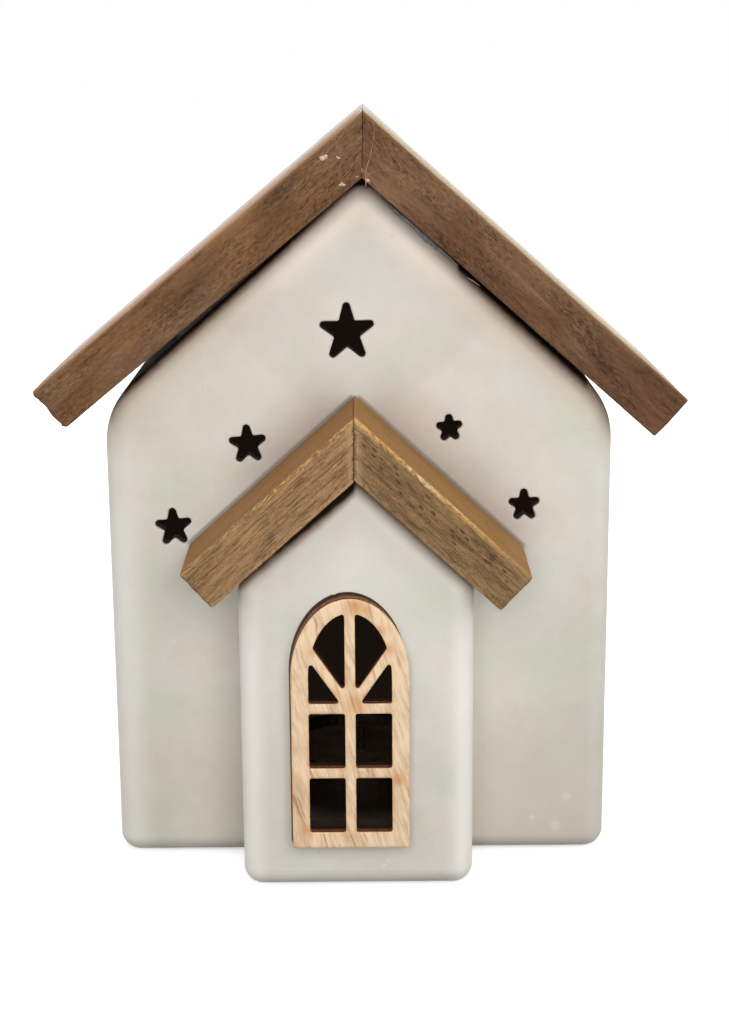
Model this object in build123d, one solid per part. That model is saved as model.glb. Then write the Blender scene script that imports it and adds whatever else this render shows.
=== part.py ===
from build123d import *

import os
from math import acos, atan2, cos, degrees, radians, sin, tan

# A ceramic tealight house with a porch, wooden roof boards, a laser-cut window and its tealight.
# Sizes are in millimetres and angles in degrees. The origin is on the surface that the house
# stands on, midway between the ends of the main roof and midway between the front of the porch
# roof and the back of the main roof. +X is to the right of someone who faces the window, +Y runs
# from the window to the back and +Z is up.

# Ceramic body
body_width = 108.0
body_depth = 58.0
eaves_height = 100.6
gable_height = 148.6
ridge_offset = 1.1
ceramic_wall = 4.0
shoulder_radius = 17.0
gable_tip_radius = 5.0
body_edge_radius = 4.5
foot_edge_radius = 4.0
foot_rim_width = 7.0
foot_rim_height = 4.0
foot_opening_radius = 5.0

# Porch, cast in one with the body and a little to the left of its middle
porch_offset = -0.8
porch_width = 49.0
porch_projection = 18.5
porch_eaves_height = 66.5
porch_gable_height = 89.5
porch_shoulder_radius = 4.0
porch_edge_radius = 4.2
porch_cove_radius = 1.2

# Main roof, two mitred boards that lie flatter than the gable under them
main_left_board_length = 88.4
main_right_board_length = 89.4
main_board_thickness = 10.2
main_front_overhang = 6.5
main_back_overhang = 5.0
main_left_gap_angle = 1.7
main_right_gap_angle = 0.75
main_seat_gap = 0.3
main_mitre_gap = 0.3

# Porch roof, two mitred boards that end at the front wall
porch_left_board_length = 48.2
porch_right_board_length = 49.0
porch_board_thickness = 9.7
porch_front_overhang = 3.8
porch_left_gap_angle = 1.4
porch_right_gap_angle = 0.4
porch_seat_gap = 0.3
porch_mitre_gap = 0.3
porch_wall_gap = 0.5

# Hot-melt glue under the boards and in the mitres
main_glue_start = 9.0
main_glue_end = 40.0
main_glue_width = 9.0
main_glue_inset = 12.0
porch_glue_start = 6.0
porch_glue_end = 19.0
porch_glue_width = 8.0
porch_glue_inset = 5.0
mitre_glue_recess = 2.0

# Stars cut through the front wall: place across and up from the body's middle and foot,
# distance of the tips from the centre, and turn to the left
star_places = {
    "top": (-2.3, 116.7, 6.3, 1.0),
    "upper_left": (-23.55, 93.0, 4.3, 4.0),
    "lower_left": (-39.75, 75.05, 4.25, 4.0),
    "upper_right": (19.2, 96.2, 3.0, 4.0),
    "lower_right": (35.2, 79.35, 3.6, 2.0),
}
star_points = 5
star_width_share = 0.93
star_tip_radius = 0.8
star_valley_reach = 0.6
star_valley_share = 0.385
star_valley_radius = 0.5
star_rim_radius = 0.4

# Laser-cut plywood window, glued on the porch
window_offset = -1.35
window_sill_height = 11.05
window_width = 24.5
window_spring_height = 48.4
window_rise = 17.05
window_stile = 3.6
window_arch_rail = 3.1
window_bottom_rail = 3.5
window_rail = 2.2
window_mullion = 2.15
window_fan_bar = 2.05
window_fan_angle = 55.5
window_lower_rail_height = 27.7
window_upper_rail_drop = 6.55
window_corner_radius = 0.5
ply_thickness = 3.5
window_glue_film = 0.7
window_glue_width = 1.8
window_glue_length = 26.0
window_reveal = 0.8

# Tealight
tealight_diameter = 38.0
tealight_height = 16.0
tealight_foil = 0.3
tealight_lip = 1.0
wax_drop = 2.5
wick_diameter = 1.6
wick_above_wax = 6.0
sustainer_diameter = 12.0
sustainer_thickness = 0.4
sustainer_collar_diameter = 3.2
sustainer_collar_height = 3.0

# How far a cut runs past the face that it leaves
overrun = 1.0

# Slopes of the two gables, from their heights and widths
half_width = body_width / 2
gable_rise = gable_height - eaves_height
gable_left_slope = degrees(atan2(gable_rise, half_width + ridge_offset))
gable_right_slope = degrees(atan2(gable_rise, half_width - ridge_offset))
main_left_slope = gable_left_slope - main_left_gap_angle
main_right_slope = gable_right_slope - main_right_gap_angle
porch_slope = degrees(atan2(porch_gable_height - porch_eaves_height, porch_width / 2))
porch_left_slope = porch_slope - porch_left_gap_angle
porch_right_slope = porch_slope - porch_right_gap_angle

# Places that centre the whole on the origin
main_left_reach = main_left_board_length * cos(radians(main_left_slope))
main_right_reach = main_right_board_length * cos(radians(main_right_slope))
ridge_x = (main_left_reach - main_right_reach) / 2
house_x = ridge_x - ridge_offset
porch_x = house_x + porch_offset
window_reach = window_glue_film + ply_thickness
front_reach = porch_projection + max(porch_front_overhang, window_reach)
front_y = front_reach - (front_reach + body_depth + main_back_overhang) / 2
back_y = front_y + body_depth
porch_y = front_y - porch_projection
window_x = porch_x + window_offset
window_upper_rail_height = window_spring_height - window_upper_rail_drop
tealight_y = front_y + body_depth / 2


def run_back(outline, near_y, far_y):
    """A solid whose section across the house is the outline, from near_y to far_y."""
    plane = Plane(origin=(0, near_y, 0), x_dir=(1, 0, 0), z_dir=(0, -1, 0))
    return extrude(plane * outline, -(far_y - near_y))


def gable_outline(middle_x, half, base, eaves, tip_x, tip):
    """The plain outline of a gabled wall, with sharp corners."""
    corners = [
        (middle_x - half, base),
        (middle_x + half, base),
        (middle_x + half, eaves),
        (tip_x, tip),
        (middle_x - half, eaves),
    ]
    return make_face(Polyline(*corners, close=True))


def soft_outline(outline, eaves_radius, tip_radius):
    """The outline with its two eaves and its tip rounded."""
    corners = outline.vertices().sort_by(Axis.Y)
    rounded = fillet(corners[2:4], eaves_radius)
    return fillet(rounded.vertices().sort_by(Axis.Y)[-1], tip_radius)


def soften_wall(block, radius):
    """The block with the upright and gable edges of its front wall rounded."""
    front_edges = block.faces().sort_by(Axis.Y)[0].edges().sort_by(Axis.Z)
    return fillet(front_edges[1:], radius)


def soften_foot(block):
    """The block with the edges round its foot rounded."""
    foot = block.faces().sort_by(Axis.Z)[0]
    return fillet(foot.edges(), foot_edge_radius)


def soften_joint(block):
    """The block with a cove down each side of the porch, where it meets the front wall."""
    half = porch_width / 2
    joints = [
        edge
        for edge in block.edges().filter_by(Axis.Z).filter_by_position(Axis.Y, front_y - 0.01, front_y + 0.01)
        if abs(abs(edge.center().X - porch_x) - half) < 0.01
    ]
    return fillet(joints, porch_cove_radius)


def soften_rim(block, x, z, reach):
    """The block with the front rim of the star round a place made soft."""
    rim = [
        edge
        for edge in block.edges().filter_by_position(Axis.Y, front_y - 0.01, front_y + 0.01)
        if Vector(edge.center().X - x, edge.center().Z - z, 0).length < reach + star_tip_radius
    ]
    return fillet(rim, star_rim_radius)


def main_outline(base):
    """The main gable's outline above the base."""
    return gable_outline(house_x, half_width, base, eaves_height, ridge_x, gable_height)


def porch_outline(base):
    """The porch gable's outline above the base."""
    half = porch_width / 2
    return gable_outline(porch_x, half, base, porch_eaves_height, porch_x, porch_gable_height)


def star(radius, turn):
    """A star with round tips, point up, about the sketch's origin.

    Each arm is a circle at its tip and the two lines from there to the valleys beside it.
    """

    def spot(reach, angle):
        return Vector(star_width_share * reach * cos(radians(angle)), reach * sin(radians(angle)))

    step = 360 / star_points
    valley = star_valley_reach + radius * star_valley_share
    outline = []
    for i in range(star_points):
        angle = 90 + turn + i * step
        tip = spot(radius - star_tip_radius, angle)
        before = spot(valley, angle - step / 2)
        after = spot(valley, angle + step / 2)
        towards = {}
        for side, place in ((1, before), (-1, after)):
            way = place - tip
            spread = degrees(acos(star_tip_radius / way.length))
            towards[side] = degrees(atan2(way.Y, way.X)) + side * spread
        touch_before, crown, touch_after = (
            tip + Vector(star_tip_radius, 0).rotate(Axis.Z, heading)
            for heading in (towards[1], angle, towards[-1])
        )
        outline.append(Line(before, touch_before))
        outline.append(ThreePointArc(touch_before, crown, touch_after))
        outline.append(Line(touch_after, after))
    shape = make_face(outline)
    by_reach = sorted(shape.vertices(), key=lambda v: Vector(v.X, v.Y, 0).length)
    return fillet(by_reach[:star_points], star_valley_radius)


def arched(width, sill, spring, rise):
    """A window shape with a flat sill and a half-ellipse head."""
    jambs = Pos(window_x, (sill + spring) / 2) * Rectangle(width, spring - sill)
    head = Pos(window_x, spring) * Ellipse(width / 2, rise)
    below = Pos(window_x, spring - rise / 2) * Rectangle(width, rise)
    return jambs + (head - below)


def foot_opening():
    """The opening in the foot, through which the tealight goes in."""
    main = Pos(house_x, (front_y + back_y) / 2) * Rectangle(
        body_width - 2 * foot_rim_width, body_depth - 2 * foot_rim_width
    )
    bay_depth = porch_projection + foot_rim_width
    bay = Pos(porch_x, porch_y + foot_rim_width + bay_depth / 2) * Rectangle(
        porch_width - 2 * foot_rim_width, bay_depth
    )
    opening = fillet((main + bay).vertices(), foot_opening_radius)
    return Pos(0, 0, -overrun) * extrude(opening, foot_rim_height + 2 * overrun)


def house_body():
    """The glazed ceramic shell: main house and porch, closed at the top and back, open below."""
    main = run_back(soft_outline(main_outline(0), shoulder_radius, gable_tip_radius), front_y, back_y)
    main = soften_wall(main, body_edge_radius)
    main = soften_wall(mirror(main, Plane.XZ), body_edge_radius)
    main = soften_foot(mirror(main, Plane.XZ))
    porch = run_back(
        soft_outline(porch_outline(0), porch_shoulder_radius, porch_shoulder_radius),
        porch_y,
        front_y + ceramic_wall,
    )
    porch = soften_foot(soften_wall(porch, porch_edge_radius))
    hollow_base = foot_rim_height - ceramic_wall
    main_hollow = offset(main_outline(hollow_base), -ceramic_wall, kind=Kind.INTERSECTION)
    porch_hollow = offset(porch_outline(hollow_base), -ceramic_wall, kind=Kind.INTERSECTION)
    body = soften_joint(main + porch)
    body -= run_back(main_hollow, front_y + ceramic_wall, back_y - ceramic_wall)
    body -= run_back(porch_hollow, porch_y + ceramic_wall, front_y + ceramic_wall + overrun)
    body -= foot_opening()
    for across, up, radius, turn in star_places.values():
        cut = Pos(house_x + across, up) * star(radius, turn)
        body -= run_back(cut, front_y - overrun, front_y + ceramic_wall + overrun)
        body = soften_rim(body, house_x + across, up, radius)
    window_hole = arched(
        window_width - 2 * (window_stile - window_reveal),
        window_sill_height + window_bottom_rail - window_reveal,
        window_spring_height,
        window_rise - window_arch_rail + window_reveal,
    )
    body -= run_back(window_hole, porch_y - overrun, porch_y + ceramic_wall + overrun)
    return body


class Roof:
    """Two mitred boards over a gable, and the lines that they share with it.

    The undersides meet at the seat, above the gable's tip. The mitre halves the angle between
    the boards, which need not slope alike.
    """

    def __init__(self, tip_x, tip, seat_gap, gable_slopes, slopes, lengths, thickness, mitre_gap):
        self.tip = (tip_x, tip)
        self.seat = (tip_x, tip + seat_gap)
        self.gable_slopes = gable_slopes
        self.slopes = slopes
        self.lengths = lengths
        self.thickness = thickness
        lean = radians((slopes[1] - slopes[0]) / 2)
        mitre = thickness / cos(radians(sum(slopes) / 2))
        self.ridge = (tip_x + mitre * sin(lean), tip + seat_gap + mitre * cos(lean))
        self.half_gap = mitre_gap / 2

    def down(self, side, start, distance):
        """The point at a distance down the slope of one side, -1 left or 1 right."""
        slope = radians(self.slopes[0 if side < 0 else 1])
        return (start[0] + side * distance * cos(slope), start[1] - distance * sin(slope))

    def board_outline(self, side):
        """The section of one board: square at the eaves, mitred at the ridge."""
        slope = radians(self.slopes[0 if side < 0 else 1])
        into = self.half_gap / cos(slope)
        top = self.down(side, self.ridge, into)
        eaves = self.down(side, self.ridge, self.lengths[0 if side < 0 else 1])
        under = (eaves[0] - side * self.thickness * sin(slope), eaves[1] - self.thickness * cos(slope))
        return make_face(Polyline(top, eaves, under, self.down(side, self.seat, into), close=True))

    def mitre_glue_outline(self, recess):
        """The film of glue between the two mitred ends, clear of their edges."""
        mitre = Vector(*self.ridge) - Vector(*self.seat)
        low = Vector(*self.seat) + mitre * (recess / mitre.length)
        high = Vector(*self.ridge) - mitre * (recess / mitre.length)
        corners = []
        for side, point in ((-1, low), (1, low), (1, high), (-1, high)):
            into = self.half_gap / cos(radians(self.slopes[0 if side < 0 else 1]))
            corners.append(self.down(side, (point.X, point.Y), into))
        return make_face(Polyline(*corners, close=True))

    def pad_outline(self, side, start, end):
        """The wedge of glue between the gable and one board, from start to end across."""
        index = 0 if side < 0 else 1
        gable_fall = tan(radians(self.gable_slopes[index]))
        board_fall = tan(radians(self.slopes[index]))
        corners = [
            (self.tip[0] + side * start, self.tip[1] - start * gable_fall),
            (self.tip[0] + side * end, self.tip[1] - end * gable_fall),
            (self.seat[0] + side * end, self.seat[1] - end * board_fall),
            (self.seat[0] + side * start, self.seat[1] - start * board_fall),
        ]
        return make_face(Polyline(*corners, close=True))


main_roof = Roof(
    ridge_x,
    gable_height,
    main_seat_gap,
    (gable_left_slope, gable_right_slope),
    (main_left_slope, main_right_slope),
    (main_left_board_length, main_right_board_length),
    main_board_thickness,
    main_mitre_gap,
)
porch_roof = Roof(
    porch_x,
    porch_gable_height,
    porch_seat_gap,
    (porch_slope, porch_slope),
    (porch_left_slope, porch_right_slope),
    (porch_left_board_length, porch_right_board_length),
    porch_board_thickness,
    porch_mitre_gap,
)
main_roof_y = (front_y - main_front_overhang, back_y + main_back_overhang)
porch_roof_y = (porch_y - porch_front_overhang, front_y - porch_wall_gap)


def main_glue(side):
    """Two beads of glue that carry one main board, one near each end of the ridge."""
    outline = main_roof.pad_outline(side, main_glue_start, main_glue_end)
    near = front_y + main_glue_inset
    far = back_y - main_glue_inset
    beads = [
        run_back(outline, near, near + main_glue_width),
        run_back(outline, far - main_glue_width, far),
    ]
    return Compound(children=beads)


def porch_glue(side):
    """The bead of glue that carries one porch board."""
    outline = porch_roof.pad_outline(side, porch_glue_start, porch_glue_end)
    near = porch_y + porch_glue_inset
    return run_back(outline, near, near + porch_glue_width)


def mitre_glue(roof, ends):
    """The film of glue in a roof's mitre, clear of the boards' faces."""
    return run_back(
        roof.mitre_glue_outline(mitre_glue_recess), ends[0] + mitre_glue_recess, ends[1] - mitre_glue_recess
    )


def window_frame():
    """The plywood window: outer frame, two rails, mullion and two fan bars."""
    top = window_spring_height + window_rise
    sheet = arched(window_width, window_sill_height, window_spring_height, window_rise)
    light = arched(
        window_width - 2 * window_stile,
        window_sill_height + window_bottom_rail,
        window_spring_height,
        window_rise - window_arch_rail,
    )
    middle = (window_sill_height + top) / 2
    bars = Pos(window_x, middle) * Rectangle(window_mullion, top - window_sill_height)
    for height in (window_lower_rail_height, window_upper_rail_height):
        bars += Pos(window_x, height) * Rectangle(window_width, window_rail)
    for side in (-1, 1):
        lean = 90 - side * (90 - window_fan_angle)
        bar = Pos(window_width / 2) * Rectangle(window_width, window_fan_bar)
        bars += Pos(window_x, window_upper_rail_height) * Rot(0, 0, lean) * bar
    panes = light - bars
    panes = fillet(panes.vertices(), window_corner_radius)
    front = porch_y - window_glue_film - ply_thickness
    return run_back(sheet - panes, front, front + ply_thickness)


def window_glue():
    """Two strips of glue behind the window's stiles."""
    middle = (window_sill_height + window_spring_height) / 2
    across = (window_width - window_stile + window_reveal) / 2
    strips = []
    for side in (-1, 1):
        strip = Pos(window_x + side * across, middle) * Rectangle(window_glue_width, window_glue_length)
        strips.append(run_back(strip, porch_y - window_glue_film, porch_y))
    return Compound(children=strips)


def tealight_cup():
    """The pressed foil cup, with a rolled-out lip."""
    outer = tealight_diameter / 2
    body_radius = outer - tealight_lip
    wall = Cylinder(body_radius, tealight_height, align=(Align.CENTER, Align.CENTER, Align.MIN))
    lip = Pos(0, 0, tealight_height - tealight_foil) * Cylinder(
        outer, tealight_foil, align=(Align.CENTER, Align.CENTER, Align.MIN)
    )
    bore = Pos(0, 0, tealight_foil) * Cylinder(
        body_radius - tealight_foil, tealight_height, align=(Align.CENTER, Align.CENTER, Align.MIN)
    )
    return Pos(house_x, tealight_y) * (wall + lip - bore)


def wick_sustainer():
    """The tin disc that holds the wick upright on the cup's floor."""
    disc = Cylinder(
        sustainer_diameter / 2, sustainer_thickness, align=(Align.CENTER, Align.CENTER, Align.MIN)
    )
    collar = Cylinder(
        sustainer_collar_diameter / 2,
        sustainer_collar_height,
        align=(Align.CENTER, Align.CENTER, Align.MIN),
    )
    hole = Pos(0, 0, sustainer_thickness) * Cylinder(
        wick_diameter / 2, sustainer_collar_height, align=(Align.CENTER, Align.CENTER, Align.MIN)
    )
    return Pos(house_x, tealight_y, tealight_foil) * (disc + collar - hole)


def tealight_wick():
    """The wick, from the sustainer up through the wax."""
    foot = tealight_foil + sustainer_thickness
    top = tealight_height - wax_drop + wick_above_wax
    stem = Cylinder(wick_diameter / 2, top - foot, align=(Align.CENTER, Align.CENTER, Align.MIN))
    return Pos(house_x, tealight_y, foot) * stem


def tealight_wax():
    """The wax that fills the cup round the wick and its sustainer."""
    fill = tealight_height - wax_drop - tealight_foil
    radius = tealight_diameter / 2 - tealight_lip - tealight_foil
    block = Cylinder(radius, fill, align=(Align.CENTER, Align.CENTER, Align.MIN))
    block = Pos(house_x, tealight_y, tealight_foil) * block
    return block - wick_sustainer() - tealight_wick()


parts = {
    "house_body": house_body(),
    "main_roof_board_left": run_back(main_roof.board_outline(-1), *main_roof_y),
    "main_roof_board_right": run_back(main_roof.board_outline(1), *main_roof_y),
    "main_roof_glue_left": main_glue(-1),
    "main_roof_glue_right": main_glue(1),
    "main_mitre_glue": mitre_glue(main_roof, main_roof_y),
    "porch_roof_board_left": run_back(porch_roof.board_outline(-1), *porch_roof_y),
    "porch_roof_board_right": run_back(porch_roof.board_outline(1), *porch_roof_y),
    "porch_roof_glue_left": porch_glue(-1),
    "porch_roof_glue_right": porch_glue(1),
    "porch_mitre_glue": mitre_glue(porch_roof, porch_roof_y),
    "window_frame": window_frame(),
    "window_glue": window_glue(),
    "tealight_cup": tealight_cup(),
    "wick_sustainer": wick_sustainer(),
    "tealight_wick": tealight_wick(),
    "tealight_wax": tealight_wax(),
}

os.makedirs("parts", exist_ok=True)
for name, solid in parts.items():
    export_step(solid, f"parts/{name}.step")
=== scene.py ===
"""The visible surfaces of a ceramic tealight house, their finishes and the studio round it.

Lengths in the property groups and in the surface functions are millimetres, and the meshes are
metres. Along, down and back are a board's own directions: from ridge to eaves, from top face to
underside, and from the front of the house to its back.
"""

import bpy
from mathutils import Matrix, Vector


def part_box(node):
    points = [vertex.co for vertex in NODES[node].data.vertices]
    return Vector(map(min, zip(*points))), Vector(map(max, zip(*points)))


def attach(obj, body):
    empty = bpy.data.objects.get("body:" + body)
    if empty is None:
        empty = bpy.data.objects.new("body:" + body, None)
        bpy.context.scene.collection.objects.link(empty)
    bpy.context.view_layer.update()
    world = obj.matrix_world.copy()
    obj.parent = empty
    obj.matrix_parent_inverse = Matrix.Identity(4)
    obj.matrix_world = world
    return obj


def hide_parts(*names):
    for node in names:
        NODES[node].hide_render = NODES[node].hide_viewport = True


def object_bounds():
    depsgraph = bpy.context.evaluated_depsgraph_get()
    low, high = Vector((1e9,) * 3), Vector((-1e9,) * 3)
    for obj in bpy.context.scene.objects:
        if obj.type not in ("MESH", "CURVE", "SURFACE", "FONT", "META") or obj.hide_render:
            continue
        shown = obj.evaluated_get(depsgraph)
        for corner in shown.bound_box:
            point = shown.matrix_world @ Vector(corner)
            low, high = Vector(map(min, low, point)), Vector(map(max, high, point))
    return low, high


bl_info = {
    "name": "Tealight House",
    "version": (1, 0, 0),
    "blender": (4, 5, 0),
    "location": "View3D > Sidebar > Tealight House",
    "description": "Builds the visible surfaces and finishes of a ceramic tealight house",
    "category": "Add Mesh",
}

import bmesh
import bpy
import numpy as np
from bpy.props import FloatProperty, FloatVectorProperty, IntProperty, PointerProperty
from mathutils import Matrix, Vector

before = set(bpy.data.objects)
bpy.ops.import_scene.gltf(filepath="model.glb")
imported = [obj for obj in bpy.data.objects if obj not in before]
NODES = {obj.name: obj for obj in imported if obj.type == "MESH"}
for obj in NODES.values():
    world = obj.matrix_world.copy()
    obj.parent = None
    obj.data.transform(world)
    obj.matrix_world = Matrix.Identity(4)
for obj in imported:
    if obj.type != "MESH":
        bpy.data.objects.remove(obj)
CAD_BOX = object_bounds()
HOUSE = "house"
TEALIGHT = "tealight"
MM = 0.001
TAU = 2 * np.pi
BLACK = (0.0, 0.0, 0.0)
WHITE = (1.0, 1.0, 1.0)

# The two gabled blocks of the shell: the middle and the ridge across, half the width, the eaves, the
# tip of the gable, and where the front wall stands
MAIN_BLOCK = {"middle": -0.42, "ridge": 0.68, "half": 54.0, "eaves": 100.6, "tip": 148.6, "front": -20.15}
PORCH_BLOCK = {"middle": -1.22, "ridge": -1.22, "half": 24.5, "eaves": 66.5, "tip": 89.5, "front": -38.65}
BACK_WALL = 37.85

# How far the porch roof climbs from its front to its back
PORCH_RISE = 0.6


def node_box(name):
    """Lowest and highest corner of a CAD node, in millimetres."""
    low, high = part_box(name)
    return np.array(low) / MM, np.array(high) / MM


def linear(colour):
    """A display colour, 0 to 1, as the linear RGBA that shaders take."""
    c = np.array(colour[:3], float)
    low = c / 12.92
    high = ((c + 0.055) / 1.055) ** 2.4
    return tuple(np.where(c <= 0.04045, low, high)) + (1.0,)


def toned(colour, share):
    """A display colour with each of its parts multiplied by a share."""
    return [share * part for part in colour]


class Value:
    """A shader socket that takes part in sums: each operation adds its Math node."""

    def __init__(self, recipe, socket):
        self.recipe = recipe
        self.socket = socket

    def math(self, operation, *terms):
        return self.recipe.node("ShaderNodeMath", {"operation": operation}, dict(enumerate(terms)))

    def __add__(self, other):
        return self.math("ADD", self, other)

    __radd__ = __add__

    def __sub__(self, other):
        return self.math("SUBTRACT", self, other)

    def __rsub__(self, other):
        return self.math("SUBTRACT", other, self)

    def __mul__(self, other):
        return self.math("MULTIPLY", self, other)

    __rmul__ = __mul__

    def __truediv__(self, other):
        return self.math("DIVIDE", self, other)

    def __pow__(self, other):
        return self.math("POWER", self, other)

    def __abs__(self):
        return self.math("ABSOLUTE", self)

    def least(self, other):
        return self.math("MINIMUM", self, other)

    def most(self, other):
        return self.math("MAXIMUM", self, other)

    def clamped(self):
        return self.most(0.0).least(1.0)

    def between(self, start, end):
        """0 below start and 1 above end, with a smooth step between them."""
        inputs = {"Value": self, "From Min": start, "From Max": end}
        return self.recipe.node("ShaderNodeMapRange", {"interpolation_type": "SMOOTHSTEP"}, inputs)

    def fades(self, start, end):
        """1 below start and 0 above end, with a smooth step between them."""
        return 1 - self.between(start, end)


class Recipe:
    """A material's or a world's nodes, and the one method that adds any node to them."""

    def __init__(self, owner, last="ShaderNodeOutputMaterial"):
        self.owner = owner
        owner.use_nodes = True
        self.tree = owner.node_tree
        self.tree.nodes.clear()
        self.last = self.tree.nodes.new(last)

    def node(self, kind, settings=None, inputs=None, output=0):
        """A node of a kind: its settings first, then the values or links of its sockets."""
        made = self.tree.nodes.new(kind)
        for name, value in (settings or {}).items():
            setattr(made, name, value)
        for name, value in (inputs or {}).items():
            if isinstance(value, Value):
                self.tree.links.new(value.socket, made.inputs[name])
            else:
                made.inputs[name].default_value = value
        return Value(self, made.outputs[output])

    def place(self):
        """Object coordinates in millimetres."""
        here = self.node("ShaderNodeTexCoord", output="Object")
        return self.mapped(here, [1 / MM] * 3)

    def attribute(self, name, output="Fac"):
        return self.node("ShaderNodeAttribute", {"attribute_name": name}, output=output)

    def mapped(self, vector, scale=(1, 1, 1), shift=(0, 0, 0)):
        inputs = {"Vector": vector, "Scale": scale, "Location": shift}
        return self.node("ShaderNodeMapping", None, inputs)

    def joined(self, x, y, z):
        """A vector of three numbers."""
        return self.node("ShaderNodeCombineXYZ", None, {0: x, 1: y, 2: z})

    def added(self, first, second):
        """The sum of two vectors."""
        return self.node("ShaderNodeVectorMath", {"operation": "ADD"}, {0: first, 1: second})

    def parts(self, vector):
        """The three numbers of a vector."""
        split = self.node("ShaderNodeSeparateXYZ", None, {0: vector})
        return [Value(self, s) for s in split.socket.node.outputs]

    def noise(self, vector, scale=1.0, detail=3.0, roughness=0.5):
        """Soft noise from 0 to 1, with scale waves in a millimetre."""
        inputs = {"Vector": vector, "Scale": scale, "Detail": detail, "Roughness": roughness}
        return self.node("ShaderNodeTexNoise", None, inputs)

    def drawn_out(self, grain, waves, detail, roughness=0.5, shift=(0, 0, 0)):
        """Soft noise with its own number of waves in a millimetre along and across the grain."""
        along, across = waves
        return self.noise(self.mapped(grain, (along, across, across), shift), 1.0, detail, roughness)

    def cells(self, vector, scale=1.0):
        """The distance to the nearest of scattered points, scale points in a millimetre."""
        return self.node("ShaderNodeTexVoronoi", None, {"Vector": vector, "Scale": scale}, "Distance")

    def near(self, place, spots, reach):
        """1 at each of some spots, given across and up, falling to 0 at reach millimetres."""
        x, _, z = self.parts(place)
        total = None
        for across, up, size in spots:
            away = (((x - across) ** 2.0 + (z - up) ** 2.0) ** 0.5) / (reach * size)
            here = away.fades(0.35, 1.0)
            total = here if total is None else total.most(here)
        return total

    def mix(self, share, first, second, blend="MIX"):
        """Two colours, sockets or display colours, mixed by a share."""
        first, second = [c if isinstance(c, Value) else linear(c) for c in (first, second)]
        settings = {"data_type": "RGBA", "blend_type": blend}
        return self.node("ShaderNodeMix", settings, {0: share, 6: first, 7: second}, 2)

    def bump(self, height, depth, normal=None):
        """A normal that leans with height, whose full range is depth millimetres."""
        inputs = {"Height": height, "Distance": depth * MM, "Strength": 1.0}
        if normal is not None:
            inputs["Normal"] = normal
        return self.node("ShaderNodeBump", None, inputs)

    def finish(self, **sockets):
        """Ends the nodes in a Principled shader and returns the material."""
        inputs = {name.replace("_", " "): value for name, value in sockets.items()}
        return self.end_in(self.node("ShaderNodeBsdfPrincipled", None, inputs))

    def end_in(self, shader):
        """Links a shader to the output and returns the material or world."""
        self.tree.links.new(shader.socket, self.last.inputs["Surface"])
        return self.owner


def new_finish(name):
    """An empty recipe for a new material."""
    return Recipe(bpy.data.materials.new(name))


def display_colour(name, description, default):
    """A property that holds a display colour."""
    return FloatVectorProperty(
        name=name, description=description, subtype="COLOR_GAMMA", default=default, min=0, max=1
    )


class CeramicFinish(bpy.types.PropertyGroup):
    """Colours and roughness of the glazed shell."""

    glaze: display_colour("Glaze", "Colour of the satin glaze", (0.885, 0.876, 0.846))
    # Deep Glaze goes where the glaze lies thick in random patches, and also as painted shade lower down
    # and on the main wall behind the porch
    thick_and_shaded_glaze: display_colour("Deep Glaze", "Colour where the glaze lies thick", (0.79, 0.768, 0.725))
    # The inside's near-black colour is painted shade for the unlit inside of the house
    inside: display_colour("Inside", "Colour of the smoked, unglazed inside", (0.185, 0.155, 0.13))
    depth: display_colour(
        "Depth", "Light that the inside itself emits, for the panes", (0.075, 0.05, 0.038)
    )
    roughness: FloatProperty(
        name="Roughness", description="Roughness of the glaze", subtype="FACTOR",
        default=0.46, min=0, max=1,
    )


class TimberFinish(bpy.types.PropertyGroup):
    """Colours of the roof boards."""

    main_light: display_colour(
        "Main Boards, Light", "Lightest colour of the main boards' stain", (0.54, 0.41, 0.295)
    )
    main_dark: display_colour(
        "Main Boards, Dark", "Colour of the main boards' late wood and patches", (0.275, 0.19, 0.13)
    )
    porch_light: display_colour(
        "Porch Boards, Light", "Lightest colour of the porch boards' stain", (0.70, 0.565, 0.41)
    )
    porch_dark: display_colour(
        "Porch Boards, Dark", "Colour of the porch boards' streaks", (0.38, 0.27, 0.16)
    )
    porch_pore: display_colour(
        "Porch Boards, Pores", "Colour of the porch boards' pores and pits", (0.27, 0.17, 0.09)
    )
    porch_top: display_colour(
        "Porch Boards, Top", "Colour of the porch roof's upper faces", (0.67, 0.49, 0.265)
    )
    # The porch arris colour is partly worn wood and partly painted highlight
    porch_arris_worn_and_lit: display_colour(
        "Porch Boards, Arris", "Colour of the porch boards' rubbed front arris", (0.86, 0.66, 0.38)
    )
    mesh_step: FloatProperty(
        name="Mesh Step", description="Grid step on a board in millimetres", default=0.6, min=0.2
    )


class PlywoodFinish(bpy.types.PropertyGroup):
    """Colours of the laser-cut window."""

    face: display_colour("Face", "Colour of the face veneer", (0.945, 0.84, 0.70))
    grain: display_colour("Grain", "Colour of the veneer's grain", (0.70, 0.54, 0.42))
    scorch: display_colour("Scorch", "Colour of the laser's halo", (0.80, 0.535, 0.255))
    char: display_colour("Char", "Colour of the burnt cut", (0.56, 0.35, 0.23))
    mesh_step: FloatProperty(
        name="Mesh Step", description="Grid step on the window in millimetres", default=0.25, min=0.1
    )


class TealightFinish(bpy.types.PropertyGroup):
    """Form of the tealight's foil cup."""

    flutes: IntProperty(
        name="Flutes", description="Number of flutes pressed round the cup", default=48, min=8
    )
    flute_depth: FloatProperty(
        name="Flute Depth", description="Depth of a flute in millimetres", default=0.12, min=0
    )
    foil: FloatProperty(
        name="Foil", description="Thickness of the foil in millimetres", default=0.3, min=0.05
    )
    lip: FloatProperty(
        name="Lip", description="How far the rolled lip stands out in millimetres", default=1.0
    )


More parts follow.
